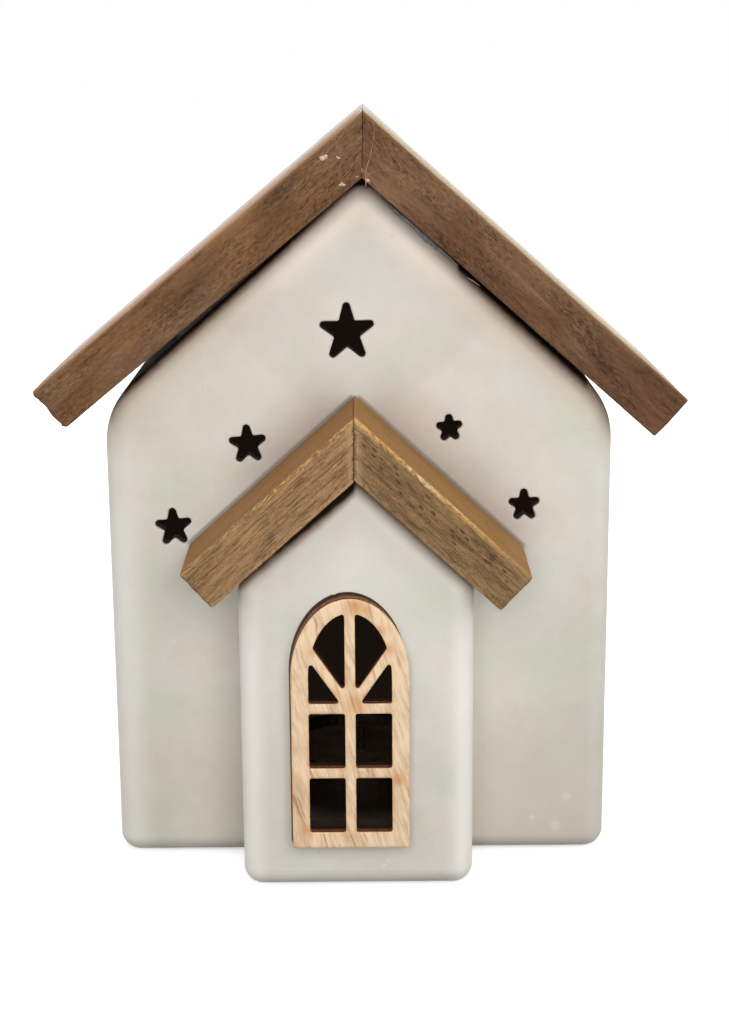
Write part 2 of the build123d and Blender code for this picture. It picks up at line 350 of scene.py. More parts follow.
class Studio(bpy.types.PropertyGroup):
    """Camera, floor and lights."""

    lens: FloatProperty(
        name="Lens", description="Focal length in millimetres", default=65.144
    )
    camera_place: FloatVectorProperty(
        name="Camera Place", description="Where the camera stands, in millimetres",
        default=(0.448, -405.097, 170.977),
    )
    camera_pitch: FloatProperty(
        name="Pitch", description="How far the camera looks down, in degrees", default=13.555
    )
    camera_yaw: FloatProperty(
        name="Yaw", description="How far the camera turns to the right, in degrees", default=0.036
    )
    camera_roll: FloatProperty(
        name="Roll", description="How far the camera leans, in degrees", default=-0.434
    )
    world_light: FloatProperty(
        name="World Light", description="Strength of the light from all round", default=0.25
    )


def settings(name):
    """A property group of the scene by its name."""
    return getattr(bpy.context.scene, "tealight_" + name)


def lattice_noise(points, seed):
    """Smooth noise from -1 to 1: random numbers at whole points, blended along three axes.

    points is an array of three columns, already divided by the size of a wave.
    """
    base = np.floor(points).astype(np.int64)
    part = points - base
    part = part * part * (3 - 2 * part)
    total = np.zeros(points.shape[:-1])
    for corner in np.ndindex(2, 2, 2):
        at = base + corner
        mixed = at[..., 0] * 73856093 ^ at[..., 1] * 19349663 ^ at[..., 2] * 83492791
        mixed = (mixed + seed * 2654435761) & 0xFFFFFFFF
        mixed = (mixed ^ (mixed >> 15)) * 2246822519 & 0xFFFFFFFF
        mixed = (mixed ^ (mixed >> 13)) * 3266489917 & 0xFFFFFFFF
        value = (mixed ^ (mixed >> 16)) / 0xFFFFFFFF * 2 - 1
        weight = np.prod(np.where(np.array(corner), part, 1 - part), axis=-1)
        total += value * weight
    return total


def layered_noise(points, seed, layers=3):
    """Lattice noise with finer and fainter layers added."""
    total = np.zeros(points.shape[:-1])
    for layer in range(layers):
        total += lattice_noise(points * 2.0**layer, seed + layer) / 2.0**layer
    return total


def mesh_piece(
    name, points, faces, body, slot, materials,
    attributes=None, face_materials=None, merged=1e-6,
):
    """A piece from points in millimetres and four-cornered faces, riding on a body.

    Points closer than merged, in metres, become one.
    """
    mesh = bpy.data.meshes.new(name)
    faces = np.asarray(faces, np.int32)
    mesh.vertices.add(len(points))
    mesh.vertices.foreach_set("co", (np.asarray(points, float) * MM).ravel())
    mesh.loops.add(faces.size)
    mesh.loops.foreach_set("vertex_index", faces.ravel())
    mesh.polygons.add(len(faces))
    mesh.polygons.foreach_set("loop_start", np.arange(len(faces)) * faces.shape[1])
    if face_materials is not None:
        mesh.polygons.foreach_set("material_index", face_materials)
    for key, (kind, values) in (attributes or {}).items():
        layer = mesh.attributes.new(key, kind, "POINT")
        field = "vector" if kind == "FLOAT_VECTOR" else "value"
        layer.data.foreach_set(field, np.asarray(values, float).ravel())
    mesh.update(calc_edges=True)
    mesh.validate()
    mesh.shade_smooth()
    for material in materials:
        mesh.materials.append(material)
    piece = bpy.data.objects.new(name, mesh)
    bpy.context.scene.collection.objects.link(piece)
    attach(piece, body)
    weld(piece, merged)
    return piece


def weld(piece, distance):
    """Merges points of a piece that lie on each other, and drops faces that have shrunk away."""
    work = bmesh.new()
    work.from_mesh(piece.data)
    bmesh.ops.remove_doubles(work, verts=work.verts, dist=distance)
    bmesh.ops.dissolve_degenerate(work, edges=work.edges, dist=distance)
    work.to_mesh(piece.data)
    work.free()
    piece.data.shade_smooth()


def grid_faces(rows, columns):
    """Faces between neighbouring points of a grid whose last column joins its first."""
    index = np.arange(rows * columns).reshape(rows, columns)
    index = np.hstack([index, index[:, :1]])
    corners = [index[:-1, :-1], index[:-1, 1:], index[1:, 1:], index[1:, :-1]]
    return np.stack([c.ravel() for c in corners], axis=1)


def rounded_section(depth, thickness, radius, step):
    """A rectangle's outline with rounded corners, from the top front corner down the front.

    It returns back and down, which are places round the outline, and the outward direction there.
    """
    turn = np.linspace(0, np.pi / 2, 5)[1:-1]
    down_steps = max(4, int((thickness - 2 * radius) / step))
    back_steps = max(4, int((depth - 2 * radius) / (step * 1.6)))
    down = np.linspace(radius, thickness - radius, down_steps + 1)
    back = np.linspace(radius, depth - radius, back_steps + 1)
    flat_down = np.zeros_like(down)
    flat_back = np.zeros_like(back)
    arc_sin = radius * np.sin(turn)
    arc_cos = radius * np.cos(turn)
    places_back = [
        flat_down, radius - arc_cos, back, depth - radius + arc_sin,
        flat_down + depth, depth - radius + arc_cos, back[::-1], radius - arc_sin,
    ]
    places_down = [
        down, thickness - radius + arc_sin, flat_back + thickness, thickness - radius + arc_cos,
        down[::-1], radius - arc_sin, flat_back, radius - arc_cos,
    ]
    out_back = [
        flat_down - 1, -np.cos(turn), flat_back, np.sin(turn),
        flat_down + 1, np.cos(turn), flat_back, -np.sin(turn),
    ]
    out_down = [
        flat_down, np.sin(turn), flat_back + 1, np.cos(turn),
        flat_down, -np.sin(turn), flat_back - 1, -np.cos(turn),
    ]
    return [np.concatenate(p) for p in (places_back, places_down, out_back, out_down)]


def node_points(node):
    """The corners of a CAD node's mesh, in millimetres."""
    mesh = NODES[node].data
    places = np.zeros(len(mesh.vertices) * 3)
    mesh.vertices.foreach_get("co", places)
    return places.reshape(-1, 3) / MM


def board_corners(node):
    """A board's section corners across and up, from its CAD node: top and underside at each end."""
    places = node_points(node)
    corners = np.unique(np.round(places[:, [0, 2]], 3), axis=0)
    middle = (CAD_BOX[0][0] + CAD_BOX[1][0]) / 2 / MM
    eaves_top = corners[np.argmax(abs(corners[:, 0] - middle))]
    eaves_under = corners[np.argmin(corners[:, 1])]
    ridge_top = corners[np.argmax(corners[:, 1])]
    used = np.array([eaves_top, eaves_under, ridge_top])
    rest = [c for c in corners if not (np.abs(used - c).max(axis=1) < 1e-6).any()]
    ridge_under = np.mean(rest, axis=0)
    return ridge_top, ridge_under, eaves_top, eaves_under


def end_rows(radius, thickness):
    """Rows that close a board's end: how far in from its outline and along from its end each lies."""
    turn = np.linspace(np.pi / 2, 0, 5)[:-1]
    cap = np.linspace(thickness / 2, radius, 8)[:-1]
    inset = np.concatenate([cap, radius * np.sin(turn)])
    along = np.concatenate([np.zeros(len(cap)), radius * (1 - np.cos(turn))])
    return inset, along


# How far a board's edge is torn at its mitre, and how far along it the torn and sawn ends, the
# longer reach at the eaves and the closed mitre go
RAGGED = 0.1
ROUGH_END = 0.9
REACH_END = 12
CLOSED_END = 6

# How wide the front arris band is, drawn as worn wood with painted highlight
WORN_AND_LIT_WIDTH = 0.8


def board_surface(
    node, radius, step, seed, relief, wear_depth, saw_wave, corners, reach, close, rise=0.0
):
    """A sawn board: a rounded rectangle carried from the mitre to the eaves, closed at both ends.

    Point = ridge line + share along * (eaves line - ridge line), where each line runs from the
    top face to the underside. Long, fine noise along the grain moves each point out or in, and the
    arrises are worn by a second noise. At the eaves the sawn end has a wave and its two corners
    are rounded off and reach out, and at the mitre it is sharp, ragged and closes up the joint.
    The board climbs by the rise from its front to its back.
    """
    low, high = node_box(node)
    depth = high[1] - low[1]
    ridge_top, ridge_under, eaves_top, eaves_under = board_corners(node)
    length = np.linalg.norm(eaves_top - ridge_top)
    thickness = np.linalg.norm(eaves_under - eaves_top)
    back, down, out_back, out_down = rounded_section(depth, thickness, radius, step)
    mitre_inset, mitre_along = end_rows(0.1, thickness)
    eaves_inset, eaves_along = end_rows(radius, thickness)
    inner = np.linspace(0.1, length - radius, int(length / step))
    inset = np.concatenate([mitre_inset, np.zeros(len(inner)), eaves_inset[::-1]])[:, None]
    along = np.concatenate([mitre_along, inner, length - eaves_along[::-1]])[:, None]
    back_grid = np.clip(back[None, :], inset, depth - inset)
    down_grid = np.clip(down[None, :], inset, thickness - inset)
    along_grid = along * np.ones_like(back_grid)

    def waves(long, wide):
        """The places on the board, divided by the size of a wave along and across it."""
        return np.stack([along_grid / long, back_grid / wide, down_grid / wide], axis=-1)

    field = waves(9.0, 0.9)
    swell = waves(30.0, 7.0)
    move = relief * (0.5 * layered_noise(field, seed) + layered_noise(swell, seed + 9))
    edge_down = np.minimum(down_grid, thickness - down_grid)
    edge_back = np.minimum(back_grid, depth - back_grid)
    arris = np.exp(-(edge_down**2 + edge_back**2) / (0.9 * radius) ** 2)
    wear = np.clip(layered_noise(waves(1.6, 8.0), seed + 20), 0, 1)
    move = move - wear_depth * arris * wear
    from_end = length - along_grid
    at_end = np.clip(1 - from_end / ROUGH_END, 0, 1)
    saw = np.stack([back_grid / 9.0, down_grid / 1.2, np.full_like(down_grid, 0.5)], axis=-1)
    shift = saw_wave * layered_noise(saw, seed + 40, 2) * at_end
    shift = shift + reach * np.clip(1 - from_end / REACH_END, 0, 1)
    for corner, away in zip(corners, (down_grid, thickness - down_grid)):
        short = np.clip(corner - away, 0, corner)
        round_off = corner - np.sqrt(corner**2 - short**2)
        shift = shift - round_off * np.clip(1 - from_end / (3 * corner), 0, 1)
    torn = np.stack([back_grid / 5.0, down_grid / 0.7, np.full_like(down_grid, 7.5)], axis=-1)
    at_mitre = np.clip(1 - along_grid / ROUGH_END, 0, 1)
    shift = shift + RAGGED * np.clip(layered_noise(torn, seed + 60), 0, 2) * at_mitre
    shift = shift - close * np.clip(1 - along_grid / CLOSED_END, 0, 1)
    share = ((along_grid + shift) / length)[..., None]
    fall = (down_grid / thickness)[..., None]
    ridge = ridge_top + (ridge_under - ridge_top) * fall
    eaves = eaves_top + (eaves_under - eaves_top) * fall
    section = ridge + (eaves - ridge) * share
    under_way = (eaves_under - eaves_top) / thickness
    settle = np.where(inset > 0, 0.0, 1.0)
    section = section + under_way * (move * settle * out_down[None, :])[..., None]
    across_depth = low[1] + back_grid + move * settle * out_back[None, :]
    climbed = section[..., 1] + rise * back_grid / depth
    points = np.stack([section[..., 0], across_depth, climbed], axis=-1)
    grain = np.stack([along_grid, back_grid + 200.0 * seed, down_grid + 37.0 * seed], axis=-1)
    place = np.stack([along_grid, back_grid, down_grid], axis=-1)
    top = np.clip(1 - down_grid / (0.6 * radius), 0, 1) * np.clip(-out_down[None, :] * 2 - 0.6, 0, 1)
    end = np.where(inset > radius * 0.7, 1.0, 0.0) * np.ones_like(down_grid)
    worn_and_lit = np.exp(-(down_grid**2 + back_grid**2) / WORN_AND_LIT_WIDTH**2)
    rows, columns = back_grid.shape
    faces = grid_faces(rows, columns)
    if eaves_top[0] < ridge_top[0]:
        faces = faces[:, ::-1]
    attributes = {
        "grain": ("FLOAT_VECTOR", grain),
        "place": ("FLOAT_VECTOR", place),
        "top": ("FLOAT", top),
        "end": ("FLOAT", end),
        "worn_and_lit": ("FLOAT", worn_and_lit),
    }
    return points.reshape(-1, 3), faces, attributes


def wandering_grain(mix, wander):
    """A board's grain with a slow wander across it, so that no line runs straight."""
    grain = mix.attribute("grain", "Vector")
    slow = mix.drawn_out(grain, (0.05, 0.22), 2.0)
    offset = (slow - 0.5) * wander
    return mix.added(grain, mix.joined(0.0, offset, offset))


def brown_board(name, warm, top, line):
    """Stained softwood: wavy rows of short fibres and pits, long light and dark patches, dark spots,
    and a satin varnish on the upper face, thicker towards the back. The upper face is painted pale as
    painted light, and paler towards its back as painted reflection.

    warm tints some patches, top holds the upper face's painted-light colours at the front and the back,
    and line is the colour of the front arris, worn wood with painted highlight, and its strength.
    """
    finish = settings("timber")
    mix = new_finish(name)
    grain = wandering_grain(mix, 3.0)
    along, back = mix.parts(mix.attribute("place", "Vector"))[:2]
    streak = mix.drawn_out(grain, (0.07, 0.8), 3.0, 0.6)
    fibre = mix.drawn_out(grain, (0.8, 2.6), 4.0, 0.7)
    hair = mix.drawn_out(grain, (0.4, 7.0), 2.0, 0.6)
    patch = mix.drawn_out(grain, (0.05, 0.13), 3.0, 0.55)
    rough = mix.drawn_out(grain, (0.05, 0.2), 1.0, 0.5, (9.0, 4.0, 2.0))
    spot = mix.drawn_out(grain, (0.14, 0.4), 1.0, 0.5, (31.0, 7.0, 5.0))
    spot = spot.between(0.66, 0.78)
    pit_at = mix.cells(mix.mapped(grain, (0.75, 1.9, 1.9)))
    coarse = rough.between(0.38, 0.62) * 1.1 + 0.5
    pit = pit_at.fades(0.06, 0.24) * coarse * fibre.between(0.42, 0.6)
    shade = (streak - 0.5) * 1.1 + (fibre - 0.5) * coarse * 1.7 + (hair - 0.5) * 0.9
    shade = (shade + (patch - 0.5) * 1.4 + 0.45 + pit * 0.4).clamped()
    colour = mix.mix(shade, finish.main_light, finish.main_dark)
    tint = mix.drawn_out(grain, (0.03, 0.09), 2.0, 0.5, (3.0, 1.0, 8.0))
    colour = mix.mix(tint.between(0.4, 0.6) * 0.9, colour, warm, "MULTIPLY")
    colour = mix.mix(spot * 0.5, colour, toned(finish.main_dark, 0.6))
    # Painted light: the upper face is paler than the stain, and paler towards its back as painted
    # reflection; the grain still shows in it
    pale = mix.mix(back.between(0.0, 62.0), top[0], top[1])
    pale = mix.mix(shade * 0.7, pale, finish.main_dark)
    pale = mix.mix(along.fades(0.6, 2.2) * 0.5, pale, (0.78, 0.77, 0.75))
    colour = mix.mix(mix.attribute("top"), colour, pale)
    # The front arris band: partly worn wood, partly painted highlight
    worn_and_lit = mix.attribute("worn_and_lit") ** 3.0
    colour = mix.mix(worn_and_lit * (fibre.between(0.3, 0.6) * 0.5 + 0.5) * line[1], colour, line[0])
    colour = mix.mix(mix.attribute("end") * 0.5, colour, toned(finish.main_dark, 0.7))
    return mix.finish(
        Base_Color=colour,
        Roughness=(fibre - 0.5) * 0.2 + 0.74,
        Normal=mix.bump(fibre * coarse * 0.7 + hair * 0.2 - pit * 0.4, 0.3),
        Coat_Weight=mix.attribute("top") * (back.between(4.0, 66.0) * 0.6 + 0.12),
        Coat_Roughness=0.16,
        Specular_IOR_Level=0.18,
    )


def light_board(name, tone, top_tone, pitted, knots, rub, painted_glints):
    """Light stain: thin dark lines and streaks, rows of pits, and a golden front arris, worn wood with
    painted highlight.

    rub is the noise level above which the arris takes its worn, painted-lit colour, and painted_glints
    a stretch of it that gets a near-white painted highlight.
    """
    finish = settings("timber")
    mix = new_finish(name)
    grain = wandering_grain(mix, 2.0)
    place = mix.attribute("place", "Vector")
    along, back, down = mix.parts(place)
    streak = mix.drawn_out(grain, (0.08, 1.2), 4.0, 0.68)
    fibre = mix.drawn_out(grain, (0.4, 4.4), 3.0, 0.7)
    patch = mix.drawn_out(grain, (0.05, 0.25), 2.0)
    line = mix.drawn_out(grain, (0.14, 2.8), 2.0, 0.5, (4.0, 1.0, 6.0))
    line = line.between(0.555, 0.64)
    felt = mix.drawn_out(grain, (1.6, 3.6), 3.0, 0.7, (5.0, 8.0, 2.0))
    shade = (streak - 0.5) * 2.0 + (fibre - 0.5) * 1.6 + (patch - 0.5) * 1.0 + (felt - 0.5) * 1.4
    shade = (shade + 0.40).clamped()
    colour = mix.mix(shade, finish.porch_light, finish.porch_dark)
    colour = mix.mix(1.0, colour, tone, "MULTIPLY")
    pit_at = mix.cells(mix.mapped(grain, (0.36, 1.1, 1.1)))
    band = down.between(1.2, 2.2) * down.fades(5.0, 7.0) * pitted
    pit = pit_at.fades(0.20, 0.34) * band * patch.between(0.36, 0.46)
    dark = (line * 0.5).most(pit * 0.95)
    colour = mix.mix(dark, colour, finish.porch_pore)
    torn = along.fades(0.9, 3.2) * fibre.between(0.35, 0.6)
    colour = mix.mix(torn * 0.6, colour, toned(finish.porch_light, 1.1))
    frayed = along.fades(0.1, 0.9) * felt.between(0.42, 0.56)
    colour = mix.mix(frayed * 0.85, colour, toned(finish.porch_pore, 0.6))
    for knot_along, knot_down in knots:
        away = (((along - knot_along) / 1.5) ** 2.0 + (down - knot_down) ** 2.0) ** 0.5
        colour = mix.mix(away.fades(0.35, 0.95) * 0.7, colour, (0.33, 0.28, 0.24))
    golden = mix.mix(
        (shade * 0.7 + back.fades(0.0, 9.0) * 0.3).least(1.0),
        finish.porch_top,
        toned(finish.porch_top, 0.72),
    )
    golden = mix.mix(felt.between(0.56, 0.68) * 0.5, golden, finish.porch_pore)
    golden = mix.mix(1.0, golden, top_tone, "MULTIPLY")
    colour = mix.mix(mix.attribute("top"), colour, golden)
    fleck = mix.drawn_out(grain, (0.9, 2.2), 3.0, 0.65, (2.0, 5.0, 3.0))
    # The front arris: worn wood in flecks and partly painted highlight, weaker further down the board
    worn_and_lit = mix.attribute("worn_and_lit") * fleck.between(rub, rub + 0.2)
    worn_and_lit = worn_and_lit * (1 - along.between(26.0, 44.0) * 0.6)
    # Painted highlight: a near-white shine over one stretch of the arris
    painted_glint_stretch = along.between(painted_glints[0], painted_glints[0] + 2.0) * along.fades(painted_glints[1] - 2.0, painted_glints[1])
    lower = (down - 8.6).between(0.0, 0.9) * (1 - mix.attribute("end")) * fleck.between(0.4, 0.55)
    colour = mix.mix(lower * 0.5, colour, toned(finish.porch_light, 1.15))
    painted_glint = mix.mix(
        painted_glint_stretch * fleck.between(0.52, 0.62), finish.porch_arris_worn_and_lit, (0.98, 0.93, 0.80)
    )
    colour = mix.mix(worn_and_lit, colour, painted_glint)
    colour = mix.mix(mix.attribute("end") * 0.4, colour, finish.porch_pore)
    return mix.finish(
        Base_Color=colour,
        Roughness=(fibre - 0.5) * 0.2 + 0.62 - worn_and_lit * 0.3,
        Normal=mix.bump(fibre * 0.5 - dark * 0.6 + fleck * mix.attribute("worn_and_lit") * 0.6, 0.3),
        Specular_IOR_Level=0.3,
    )


def inside_slope(block, side, x, z):
    """How far a place lies below the slope on one side of a gabled block."""
    rise = block["tip"] - block["eaves"]
    foot = block["middle"] + side * block["half"]
    run = block["ridge"] - foot
    size = np.hypot(run, rise)
    return (x - foot) * (rise / size * np.sign(run)) + (z - block["eaves"]) * (-abs(run) / size)


def inside_of(block, x, y, z):
    """How far a place lies inside a gabled block's sides, slopes and foot, and behind its front."""
    sides = (block["half"] - abs(x - block["middle"])).least(z).least(BACK_WALL - y)
    for side in (-1, 1):
        sides = sides.least(inside_slope(block, side, x, z))
    return sides, y - block["front"]


# Where a near-black painted shadow in the gap, and beside it a brown band of stain and painted shade,
# darken the glaze under a board: the block and its side, where it starts and ends across, and how far
# down it reaches at each
GAP_SHADE_AND_STAINS = [
    (MAIN_BLOCK, -1, -56.0, -14.0, 0.3, 0.3), (MAIN_BLOCK, -1, -14.0, 1.0, 0.1, -0.3),
    (MAIN_BLOCK, 1, 20.5, 48.0, 0.6, 0.35),
    (PORCH_BLOCK, -1, -26.0, -1.2, 0.0, 1.7), (PORCH_BLOCK, 1, -1.2, 23.0, 0.1, -0.3),
]


# Pale drops and grey smudges on the glaze: across, up and size
DROPS = [(44.9, 12.9, 1.0), (42.6, 6.1, 1.1), (37.5, 8.0, 0.6)]
SMUDGES = [(6.2, 137.3, 1.0), (4.3, 139.6, 0.7), (8.4, 134.8, 0.6)]

# Between which lengths down each porch board the painted shade above it fades away
PORCH_SHADE_ENDS = {"porch_roof_board_left": (18.0, 38.0), "porch_roof_board_right": (40.0, 56.0)}


def painted_dark_inside(x, y, z):
    """1 on the unglazed inside of the shell and on the walls of its openings, 0 on the glaze."""
    inside = None
    for block in (MAIN_BLOCK, PORCH_BLOCK):
        sides, deep = inside_of(block, x, y, z)
        hollow = sides.least(deep).between(2.0, 3.0)
        cut = deep.between(0.35, 0.9) * sides.between(5.0, 6.0)
        inside = hollow.most(cut) if inside is None else inside.most(hollow).most(cut)
    return inside


def marks_of_work(mix, colour, here, mottle):
    """The glaze with specks, drops, a smear of glue under the right board and a smudge beside it.

    It returns the colour and how strong the smear is.
    """
    x, y, z = mix.parts(here)
    speck = mix.cells(here, 0.13).fades(0.02, 0.05) * mix.noise(here, 0.21, 1.0).between(0.5, 0.6)
    colour = mix.mix(speck * 0.15, colour, (0.50, 0.45, 0.37))
    pale = mix.noise(here, 0.5, 2.0).between(0.68, 0.78) * mix.noise(here, 0.05, 1.0).between(0.52, 0.66)
    colour = mix.mix((pale * 0.35).most(mix.near(here, DROPS, 1.5) * 0.22), colour, (0.95, 0.94, 0.91))
    slope, deep = inside_of(MAIN_BLOCK, x, y, z)
    pulled = mix.noise(mix.joined((x + z) * 0.55, y * 0.4, (x - z) * 0.09), 1.0, 3.0, 0.7)
    smear = slope.fades(0.6, 3.0) * x.between(4.0, 8.0) * x.fades(19.0, 23.0)
    smear = smear * z.between(110.0, 112.0) * deep.fades(3.5, 4.5)
    smear = smear * (pulled.between(0.36, 0.6) * 0.7 + 0.3)
    colour = mix.mix(smear * 0.8, colour, (0.52, 0.515, 0.50))
    smudge = mix.near(here, SMUDGES, 1.8) * mottle.between(0.45, 0.62)
    return mix.mix(smudge * 0.3, colour, (0.56, 0.54, 0.49)), smear


def shaded_glaze(mix, colour, x, y, z):
    """Painted shading on the glaze: warm painted shade under the main eaves with painted light near the
    ridge, painted highlights along side edges, and grey painted shade under the porch roof.
    """
    main_deep = y - MAIN_BLOCK["front"]
    porch_deep = y - PORCH_BLOCK["front"]
    # Painted warm shade under the main eaves, with painted light on it near the ridge
    eaves = inside_slope(MAIN_BLOCK, -1, x, z).least(inside_slope(MAIN_BLOCK, 1, x, z))
    eaves = eaves.fades(1.0, 10.0) * main_deep.fades(3.0, 6.0)
    colour = mix.mix(eaves, colour, (1.0, 0.955, 0.915), "MULTIPLY")
    colour = mix.mix(eaves * z.between(116.0, 134.0) * 0.7, colour, (1.0, 0.965, 0.92))
    # Painted highlights along the porch's sides and the main wall's left edge
    porch_side = PORCH_BLOCK["half"] - abs(x - PORCH_BLOCK["middle"])
    main_side = x - (MAIN_BLOCK["middle"] - MAIN_BLOCK["half"])
    porch_edge_highlight = porch_side.fades(2.0, 6.5) * porch_deep.fades(4.0, 9.0)
    main_edge_highlight = main_side.fades(3.0, 9.0) * main_deep.fades(6.0, 12.0)
    rim = (porch_edge_highlight * 0.5).most(main_edge_highlight * 0.35) * z.fades(70.0, 100.0)
    colour = mix.mix(rim, colour, (0.975, 0.965, 0.935))
    # Painted grey shade under the porch roof
    hood_shade = inside_slope(PORCH_BLOCK, -1, x, z).least(inside_slope(PORCH_BLOCK, 1, x, z))
    hood_shade = hood_shade.fades(2.0, 18.0) * porch_deep.fades(2.0, 6.0)
    return mix.mix(hood_shade, colour, (0.93, 0.92, 0.915), "MULTIPLY")


def porch_roof_painted_shade(mix, colour, x, y, z):
    """The front wall with painted shade above the porch roof: a soft brown halo, and a dark painted
    contact shadow where they meet.

    along runs down each board's top line from the ridge, across is how far a place lies off that
    line, and height how far above it.
    """
    deep = y - MAIN_BLOCK["front"]
    on_wall = deep.between(-0.6, -0.2)
    for node, (fade_start, fade_end) in PORCH_SHADE_ENDS.items():
        start, _, end, _ = board_corners(node)
        length = float(np.linalg.norm(end - start))
        run, fall = [float(part) / length for part in end - start]
        x_off = x - float(start[0])
        z_off = z - float(start[1])
        across = abs(x_off * fall - (z_off - PORCH_RISE) * run)
        along = x_off * run + z_off * fall
        height = z_off - x_off * (fall / run)
        # Painted shade: a soft brown halo on the wall above the board
        halo = height.fades(0.0, 18.0) * height.between(-12.0, -8.0)
        halo = halo * (along.between(-3.0, 9.0) * 0.85 + 0.15) * along.fades(fade_start, fade_end)
        halo = halo * on_wall * deep.fades(0.8, 2.6)
        colour = mix.mix(halo, colour, (0.84, 0.80, 0.79), "MULTIPLY")
        # Painted contact shadow along the board's top line
        joint = across.fades(0.2, 1.0) * along.between(-0.5, 0.5)
        joint = joint * (along - length).fades(-1.0, 0.5)
        joint = joint * on_wall * deep.fades(0.8, 1.6)
        colour = mix.mix(joint * 0.65, colour, (0.40, 0.33, 0.26))
    return colour


def shaded_and_stained_eaves(mix, colour, here):
    """The glaze along the boards: a brown band that is partly stain and partly painted shade, and a
    near-black painted shadow in the gap under each board.
    """
    x, y, z = mix.parts(here)
    blur = (mix.noise(here, 0.5, 2.0) - 0.5) * 0.5
    for block, side, start, end, first, last in GAP_SHADE_AND_STAINS:
        reach = x.between(start, end) * (last - first) + first
        away = inside_slope(block, side, x, z) - reach + blur
        there = (x - start).between(-0.6, 0.6) * (x - end).fades(-0.6, 0.6)
        there = there * (y - block["front"]).fades(9.0, 14.0)
        # Brown band: partly stain, partly painted shade
        colour = mix.mix(away.fades(0.0, 1.7) * there * 0.8, colour, (0.47, 0.34, 0.26))
        # Near-black painted shadow in the gap under the board
        colour = mix.mix(away.fades(-0.3, 0.5) * there * 0.97, colour, (0.07, 0.05, 0.04))
    return colour


def glazed_ceramic():
    """Satin glaze: thick and thin patches, blushes, marks and stains; painted shade lower down, on the
    main wall, round the roofs and in the gaps under the boards, painted light along edges and near the
    ridge, and near-black clay inside the walls as painted shade.

    The inside emits a faint light of its own, brighter near the foot, which stands in for the light
    behind the panes. With the property Depth set to black it emits none.
    """
    finish = settings("ceramic")
    mix = new_finish("satin_glaze")
    here = mix.place()
    x, y, z = mix.parts(here)
    inside = painted_dark_inside(x, y, z)
    cloud = mix.noise(here, 0.035, 3.0, 0.55)
    mottle = mix.noise(here, 0.35, 3.0, 0.6)
    # Random thick patches of glaze, plus painted shade: more of the darker glaze lower down and on the
    # main wall behind the porch
    thick = y.between(-39.0, -21.0) * 0.5 + z.fades(0.0, 75.0) * 0.5 - 0.1
    thick = (thick + (cloud - 0.35) * 0.8 + (mottle - 0.5) * 0.35).clamped()
    colour = mix.mix(thick, finish.glaze, finish.thick_and_shaded_glaze)
    blush = mix.noise(here, 0.055, 2.0)
    rosy = blush.between(0.52, 0.70)
    green = blush.fades(0.32, 0.48)
    colour = mix.mix(rosy * 0.7, colour, (1.0, 0.968, 0.960), "MULTIPLY")
    colour = mix.mix(green * 0.7, colour, (0.968, 1.0, 0.972), "MULTIPLY")
    colour, smear = marks_of_work(mix, colour, here, mottle)
    colour = shaded_glaze(mix, colour, x, y, z)
    colour = porch_roof_painted_shade(mix, colour, x, y, z)
    colour = shaded_and_stained_eaves(mix, colour, here)
    # Near-black clay inside as painted shade, darker in cloudy patches; the foot's bare rim is lighter
    darker_share = mix.noise(here, 0.12, 3.0)
    clay = mix.mix(darker_share, finish.inside, toned(finish.inside, 0.6))
    clay = mix.mix(z.fades(4.2, 6.0), clay, (0.56, 0.50, 0.45))
    colour = mix.mix(inside, colour, clay)
    glow = mix.mix(z.fades(4.2, 4.8), finish.depth, toned(finish.depth, 3.2))
    ripple = mix.noise(here, 0.06, 2.0, 0.4)
    skin = mix.noise(here, 1.6, 2.0, 0.5)
    roughness = (mottle - 0.5) * 0.16 + finish.roughness
    return mix.finish(
        Base_Color=colour,
        Roughness=(roughness - smear * 0.25).most(inside * 0.9),
        Normal=mix.bump(skin, 0.02, mix.bump(ripple, 0.9)),
        Emission_Color=mix.mix(inside, BLACK, glow),
        Emission_Strength=1.0,
        Specular_IOR_Level=0.4,
    )


def veneer():
    """Face veneer with slanting grain, scorched by the laser towards every cut and at its corners."""
    finish = settings("plywood")
    mix = new_finish("laser_cut_veneer")
    here = mix.place()
    x, y, z = mix.parts(here)
    slow = mix.noise(here, 0.12, 2.0)
    across = x * 0.96 + z * 0.28 + slow * 2.2
    along = x * 0.28 - z * 0.96
    grain = mix.noise(mix.joined(across * 1.1, y, along * 0.09), 1.0, 4.0, 0.62)
    vein = mix.noise(mix.joined(across * 0.62, y, along * 0.035), 1.8, 4.0, 0.6).between(0.56, 0.68)
    fine = mix.noise(mix.joined(across * 4.5, y, along * 0.5), 1.0, 3.0, 0.65)
    patch = mix.noise(here, 0.16, 2.0)
    share = (grain - 0.45) * 1.7 + vein * 0.6 + (fine - 0.5) * 0.8 + (patch - 0.5) * 1.0
    share = share + z.fades(28.0, 56.0) * 0.16
    colour = mix.mix(share.clamped(), finish.face, finish.grain)
    edge = mix.attribute("edge")
    burn = mix.noise(here, 0.3, 2.0)
    rim = 1 - (edge / (burn.between(0.4, 0.7) * 0.9 + 0.15)).least(1.0)
    halo = (rim * rim * 0.6).most(mix.attribute("scorch") * (burn * 0.8 + 0.5).least(1.0))
    colour = mix.mix(halo.least(0.9), colour, finish.scorch)
    return mix.finish(
        Base_Color=colour,
        Roughness=(grain - 0.5) * 0.2 + 0.62,
        Normal=mix.bump(grain * 0.6 + fine * 0.4, 0.06),
        Specular_IOR_Level=0.25,
    )


